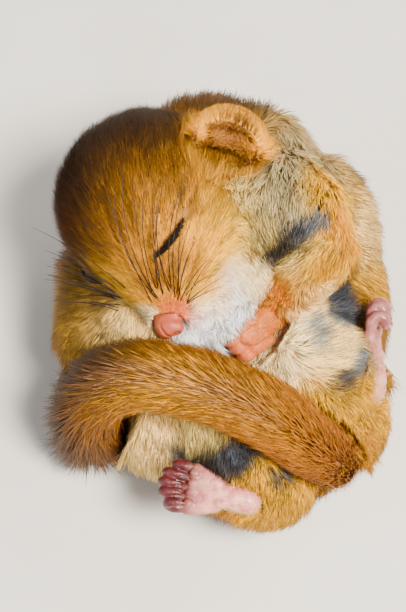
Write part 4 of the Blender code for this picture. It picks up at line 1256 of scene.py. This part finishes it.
# Places on a paw are shares of its length and width, and a height in mm. For each kind: the middle of the
# back or sole and its radii; where the digits lie across; the joints of the middle digit, each as a share
# along, a spread and a height, and the radii there; how much shorter the outer digits are; the tint of its
# short hair; and pads with their radii.
PAW_KINDS = {
    "hand": (
        [(0.0, 0, 0), (0.28, 0, 0.1), (0.52, 0, 0.1)], [1.5, 1.8, 1.6], (-0.42, -0.14, 0.14, 0.42),
        [(0.38, 1.0, 0), (0.68, 1.1, -0.1), (0.88, 1.15, 0.15), (1.0, 1.12, 1.2), (0.88, 1.05, 2.1),
         (0.76, 1.0, 2.4)],
        [0.95, 0.66, 0.8, 0.56, 0.64, 0.48], 0.10, "#dc9440",
        [((0.30, 0.25, 1.3), (0.8, 0.6, 0.6)), ((0.30, -0.25, 1.3), (0.8, 0.6, 0.6)),
         ((0.55, -0.62, 0.8), (0.7, 0.5, 0.5))],
    ),
    "foot": (
        [(0.02, 0, -0.1), (0.16, 0, 0), (0.36, 0, 0), (0.60, 0, 0)], [1.5, 1.6, 1.3, 1.1],
        (-0.5, -0.25, 0.0, 0.25, 0.5),
        [(0.60, 0.9, 0), (0.74, 1.06, 0.1), (0.88, 1.15, 0.3), (0.95, 1.12, 1.0), (0.91, 1.05, 1.65),
         (0.83, 1.0, 1.8)],
        [0.85, 0.56, 0.7, 0.56, 0.62, 0.5], 0.45, "#e6c890",
        [((0.63, across, 0.75), (0.66, 0.52, 0.5)) for across in (-0.4, -0.13, 0.14, 0.41)]
        + [((0.29, 0.24, 0.85), (0.9, 0.62, 0.6)), ((0.38, -0.24, 0.8), (0.8, 0.56, 0.55))],
    ),
}
# A claw, from the end of its digit as a share along and a height, and its radii
CLAW = np.array([(-0.01, 0, 0.28), (-0.045, 0, 0.5), (-0.09, 0, 0.46)])
CLAW_RADII = [0.17, 0.12, 0.02]
# The radii of the ray under each digit, in the palm or sole
RAY_RADII = [1.0, 0.95]
PAW_TUFTS = 2600


def make_paw(name, skin, horn, hair):
    """A hand or foot: a tapered tube for its back or sole, one for each ray, digits that swell at their
    knuckles and curl, and pads as ellipsoids, all made one skin; a curved claw on each digit; and fine short
    hair over the base, thinning out towards the digits."""
    kind, base, toward, palm, length, width = PAWS[name]
    middle, thick, digits, joints, radii, shorter, fuzz, pads = PAW_KINDS[kind]
    turn = facing(toward - base, palm)

    def at(places):
        """Points of the resting frame from places on the paw."""
        return base + (np.asarray(places, float) * (length, width, 1)) @ turn.T

    parts = [tube(at(middle), thick, along=20, around=20)]
    claws = []
    for across in digits:
        parts.append(tube(at([(0.36, 0.5 * across, 0), (0.62, across, 0)]), RAY_RADII, along=8))
        ends = [(along * (1 - shorter * across**2), spread * across, up) for along, spread, up in joints]
        parts.append(tube(at(ends), radii, along=26))
        claws.append(tube(at(np.array(ends[-1]) + CLAW), CLAW_RADII, along=10, around=10))
    parts += [ball(at(place), np.array(size), turn) for place, size in pads]
    points, faces = fused(parts, SMALL_CELL, 2)
    share = ((points - base) @ turn)[:, 0] / length
    blush_and_shade = np.clip((share - 0.42) / 0.32, 0, 1) if kind == "foot" else np.clip((share - 0.5) * 0.6, 0, 1)
    if name == "foot_left":
        # It is flushed less at the toes and more at the heel than the other foot, as in the photo.
        blush_and_shade = 0.35 + 0.35 * blush_and_shade
    obj = new_piece(name + "_skin", settled(points), faces, skin, {"blush_and_shade": blush_and_shade})
    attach(obj, "root")
    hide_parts(name)
    draw = np.random.default_rng(64 + list(PAWS).index(name))
    share = ((middles(points, faces) - base) @ turn)[:, 0] / length
    slopes = normals_of(points, faces)
    from_back = 0.5 - 0.5 * (unit(middles(slopes, faces)) @ turn[:, 2])
    density = np.clip(0.75 - share, 0.02, 1) ** 2 * (from_back if kind == "foot" else 1.0)
    roots, picked = rooted(points, faces, PAW_TUFTS, density, draw)
    count = len(roots)
    tint, _ = varied(np.repeat(rich(linear(fuzz))[None], count, 0), draw, spread=0.2)
    lie = turn[:, 0] + draw.normal(0, 0.3, roots.shape)
    lengths, lift = draw.uniform(0.5, 1.1, count), draw.uniform(0.3, 1.0, count)
    coat_piece("coat_" + name, roots, unit(middles(slopes, faces[picked])), lie, lengths,
               np.full(count, FINE_WIDTH), lift, 1, tint, unwrapped(roots), hair, "fur_orange", draw)
    points, faces = joined(claws)
    obj = new_piece(name + "_claws", settled(points), faces, horn)
    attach(obj, "root")


# The room

# The camera's distance from the middle of the animal and the height of its picture there, in mm
CAMERA_AWAY = 230.0
PICTURE_HIGH = 70.4
SENSOR = 36.0
FLOOR_SIZE = 900.0
# Each light: its name, the way to it as seen, its distance and width in metres, its power and its colour
LIGHTS = (
    ("key", (0.36, 0.05, 1.0), 0.42, 0.12, 6.6, (1.0, 0.95, 0.86)),
    ("fill", (-0.9, -0.3, 0.8), 0.5, 0.35, 1.1, (1.0, 1.0, 1.0)),
    ("rim", (0.8, 0.8, 0.5), 0.5, 0.25, 1.2, (1.0, 0.97, 0.92)),
)


def set_up(name, data, aim, toward, distance):
    """A light or the camera, set off from the place that it looks at, both in metres."""
    obj = bpy.data.objects.new(name, data)
    back = turned(toward)
    obj.location = aim + back * distance
    obj.rotation_mode = "QUATERNION"
    obj.rotation_quaternion = Vector(-back).to_track_quat("-Z", "Y")
    bpy.context.scene.collection.objects.link(obj)
    return obj


def plaster_material():
    """Matt plaster of the floor: pale and even, clouded over about 40 mm."""
    made, tree, shader = new_material("matt_plaster", Roughness=0.9)
    place = add(tree, "ShaderNodeTexCoord").outputs["Object"]
    cloud = add(tree, "ShaderNodeTexNoise", {
        "Vector": place, "Scale": 1 / (40 * MM), "Detail": 3.0}).outputs["Fac"]
    tone = add(tree, "ShaderNodeValToRGB", {"Fac": cloud},
               [(0.3, rgba("#cfc9bf")), (0.7, rgba("#dad5cc"))]).outputs["Color"]
    tree.links.new(tone, shader.inputs["Base Color"])
    return made


def make_room():
    """A plain pale floor, soft lights and the camera."""
    corners = np.array([(-1, -1, 0), (1, -1, 0), (1, 1, 0), (-1, 1, 0)]) * FLOOR_SIZE
    floor = new_piece("floor", corners, np.array([(0, 1, 2), (0, 2, 3)]), plaster_material())
    world = bpy.data.worlds.new("soft_room")
    world.use_nodes = True
    background = world.node_tree.nodes["Background"]
    background.inputs["Color"].default_value = (0.92, 0.94, 1.0, 1.0)
    background.inputs["Strength"].default_value = 0.42
    bpy.context.scene.world = world
    aim = seen((-2.3, 0.46, 0)) * MM
    for name, toward, distance, width, power, tint in LIGHTS:
        light = bpy.data.lights.new(name, "AREA")
        light.size = width
        light.energy = power
        light.color = tint
        set_up(name, light, aim, toward, distance)
    data = bpy.data.cameras.new("camera")
    data.sensor_width = SENSOR
    data.lens = SENSOR * CAMERA_AWAY / PICTURE_HIGH
    data.clip_start, data.clip_end = 0.01, 10.0
    bpy.context.scene.camera = set_up("camera", data, aim, (0, 0, 1), CAMERA_AWAY * MM)


def make_dormouse():
    """The whole animal: its skin, its coat, and the bare parts that replace the solids."""
    skin = skin_material()
    golden = hair_material("golden_hair", (0.42, 0.37, 0.36), 0.45, 0.5)
    white = hair_material("white_hair", (0.86, 0.84, 0.82), 0.4, 0.5)
    tail = hair_material("tail_hair", (0.55, 0.47, 0.44), 0.45, 0.45)
    pink = bare_material("moist_pink_skin", ("#b8646a", "#da8a80", "#f0b09e"), "#5c2e3a",
                         roughness=0.42, crease=0.5, depth=0.05, wet=0.2)
    warm = bare_material("hand_skin", ("#c25c34", "#d67240", "#e48c54"), "#a05a50",
                         roughness=0.45, crease=0.4, depth=0.05, wet=0.1)
    rosy = bare_material("nose_skin", ("#90341c", "#a84828", "#b85834"), "#4a2420",
                         roughness=0.5, crease=0.2, depth=0.04, wet=0.05)
    lids = lid_material()
    horn = claw_material()
    points, faces, centres = make_skin()
    colour = coat_at(points, centres)[0]
    colour[on_tail(points)] = rich(linear("#a5691c"))
    body = new_piece("body_skin", points, faces, skin, {"coat": colour})
    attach(body, "root")
    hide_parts(*FLESH, "tail_base", "tail_middle", "tail_tip")
    main_coat(points, faces, centres, {"golden": golden, "white": white})
    tail_coat(tail)
    for side in LIDS:
        make_lids(side, lids, golden)
    for name in EARS:
        make_ear(name, skin, golden, points, faces)
    make_nose(rosy)
    make_mouth(lids)
    make_whiskers(points, whisker_material())
    for name in PAWS:
        make_paw(name, warm if name.startswith("hand") else pink, horn, golden)


make_dormouse()
make_room()
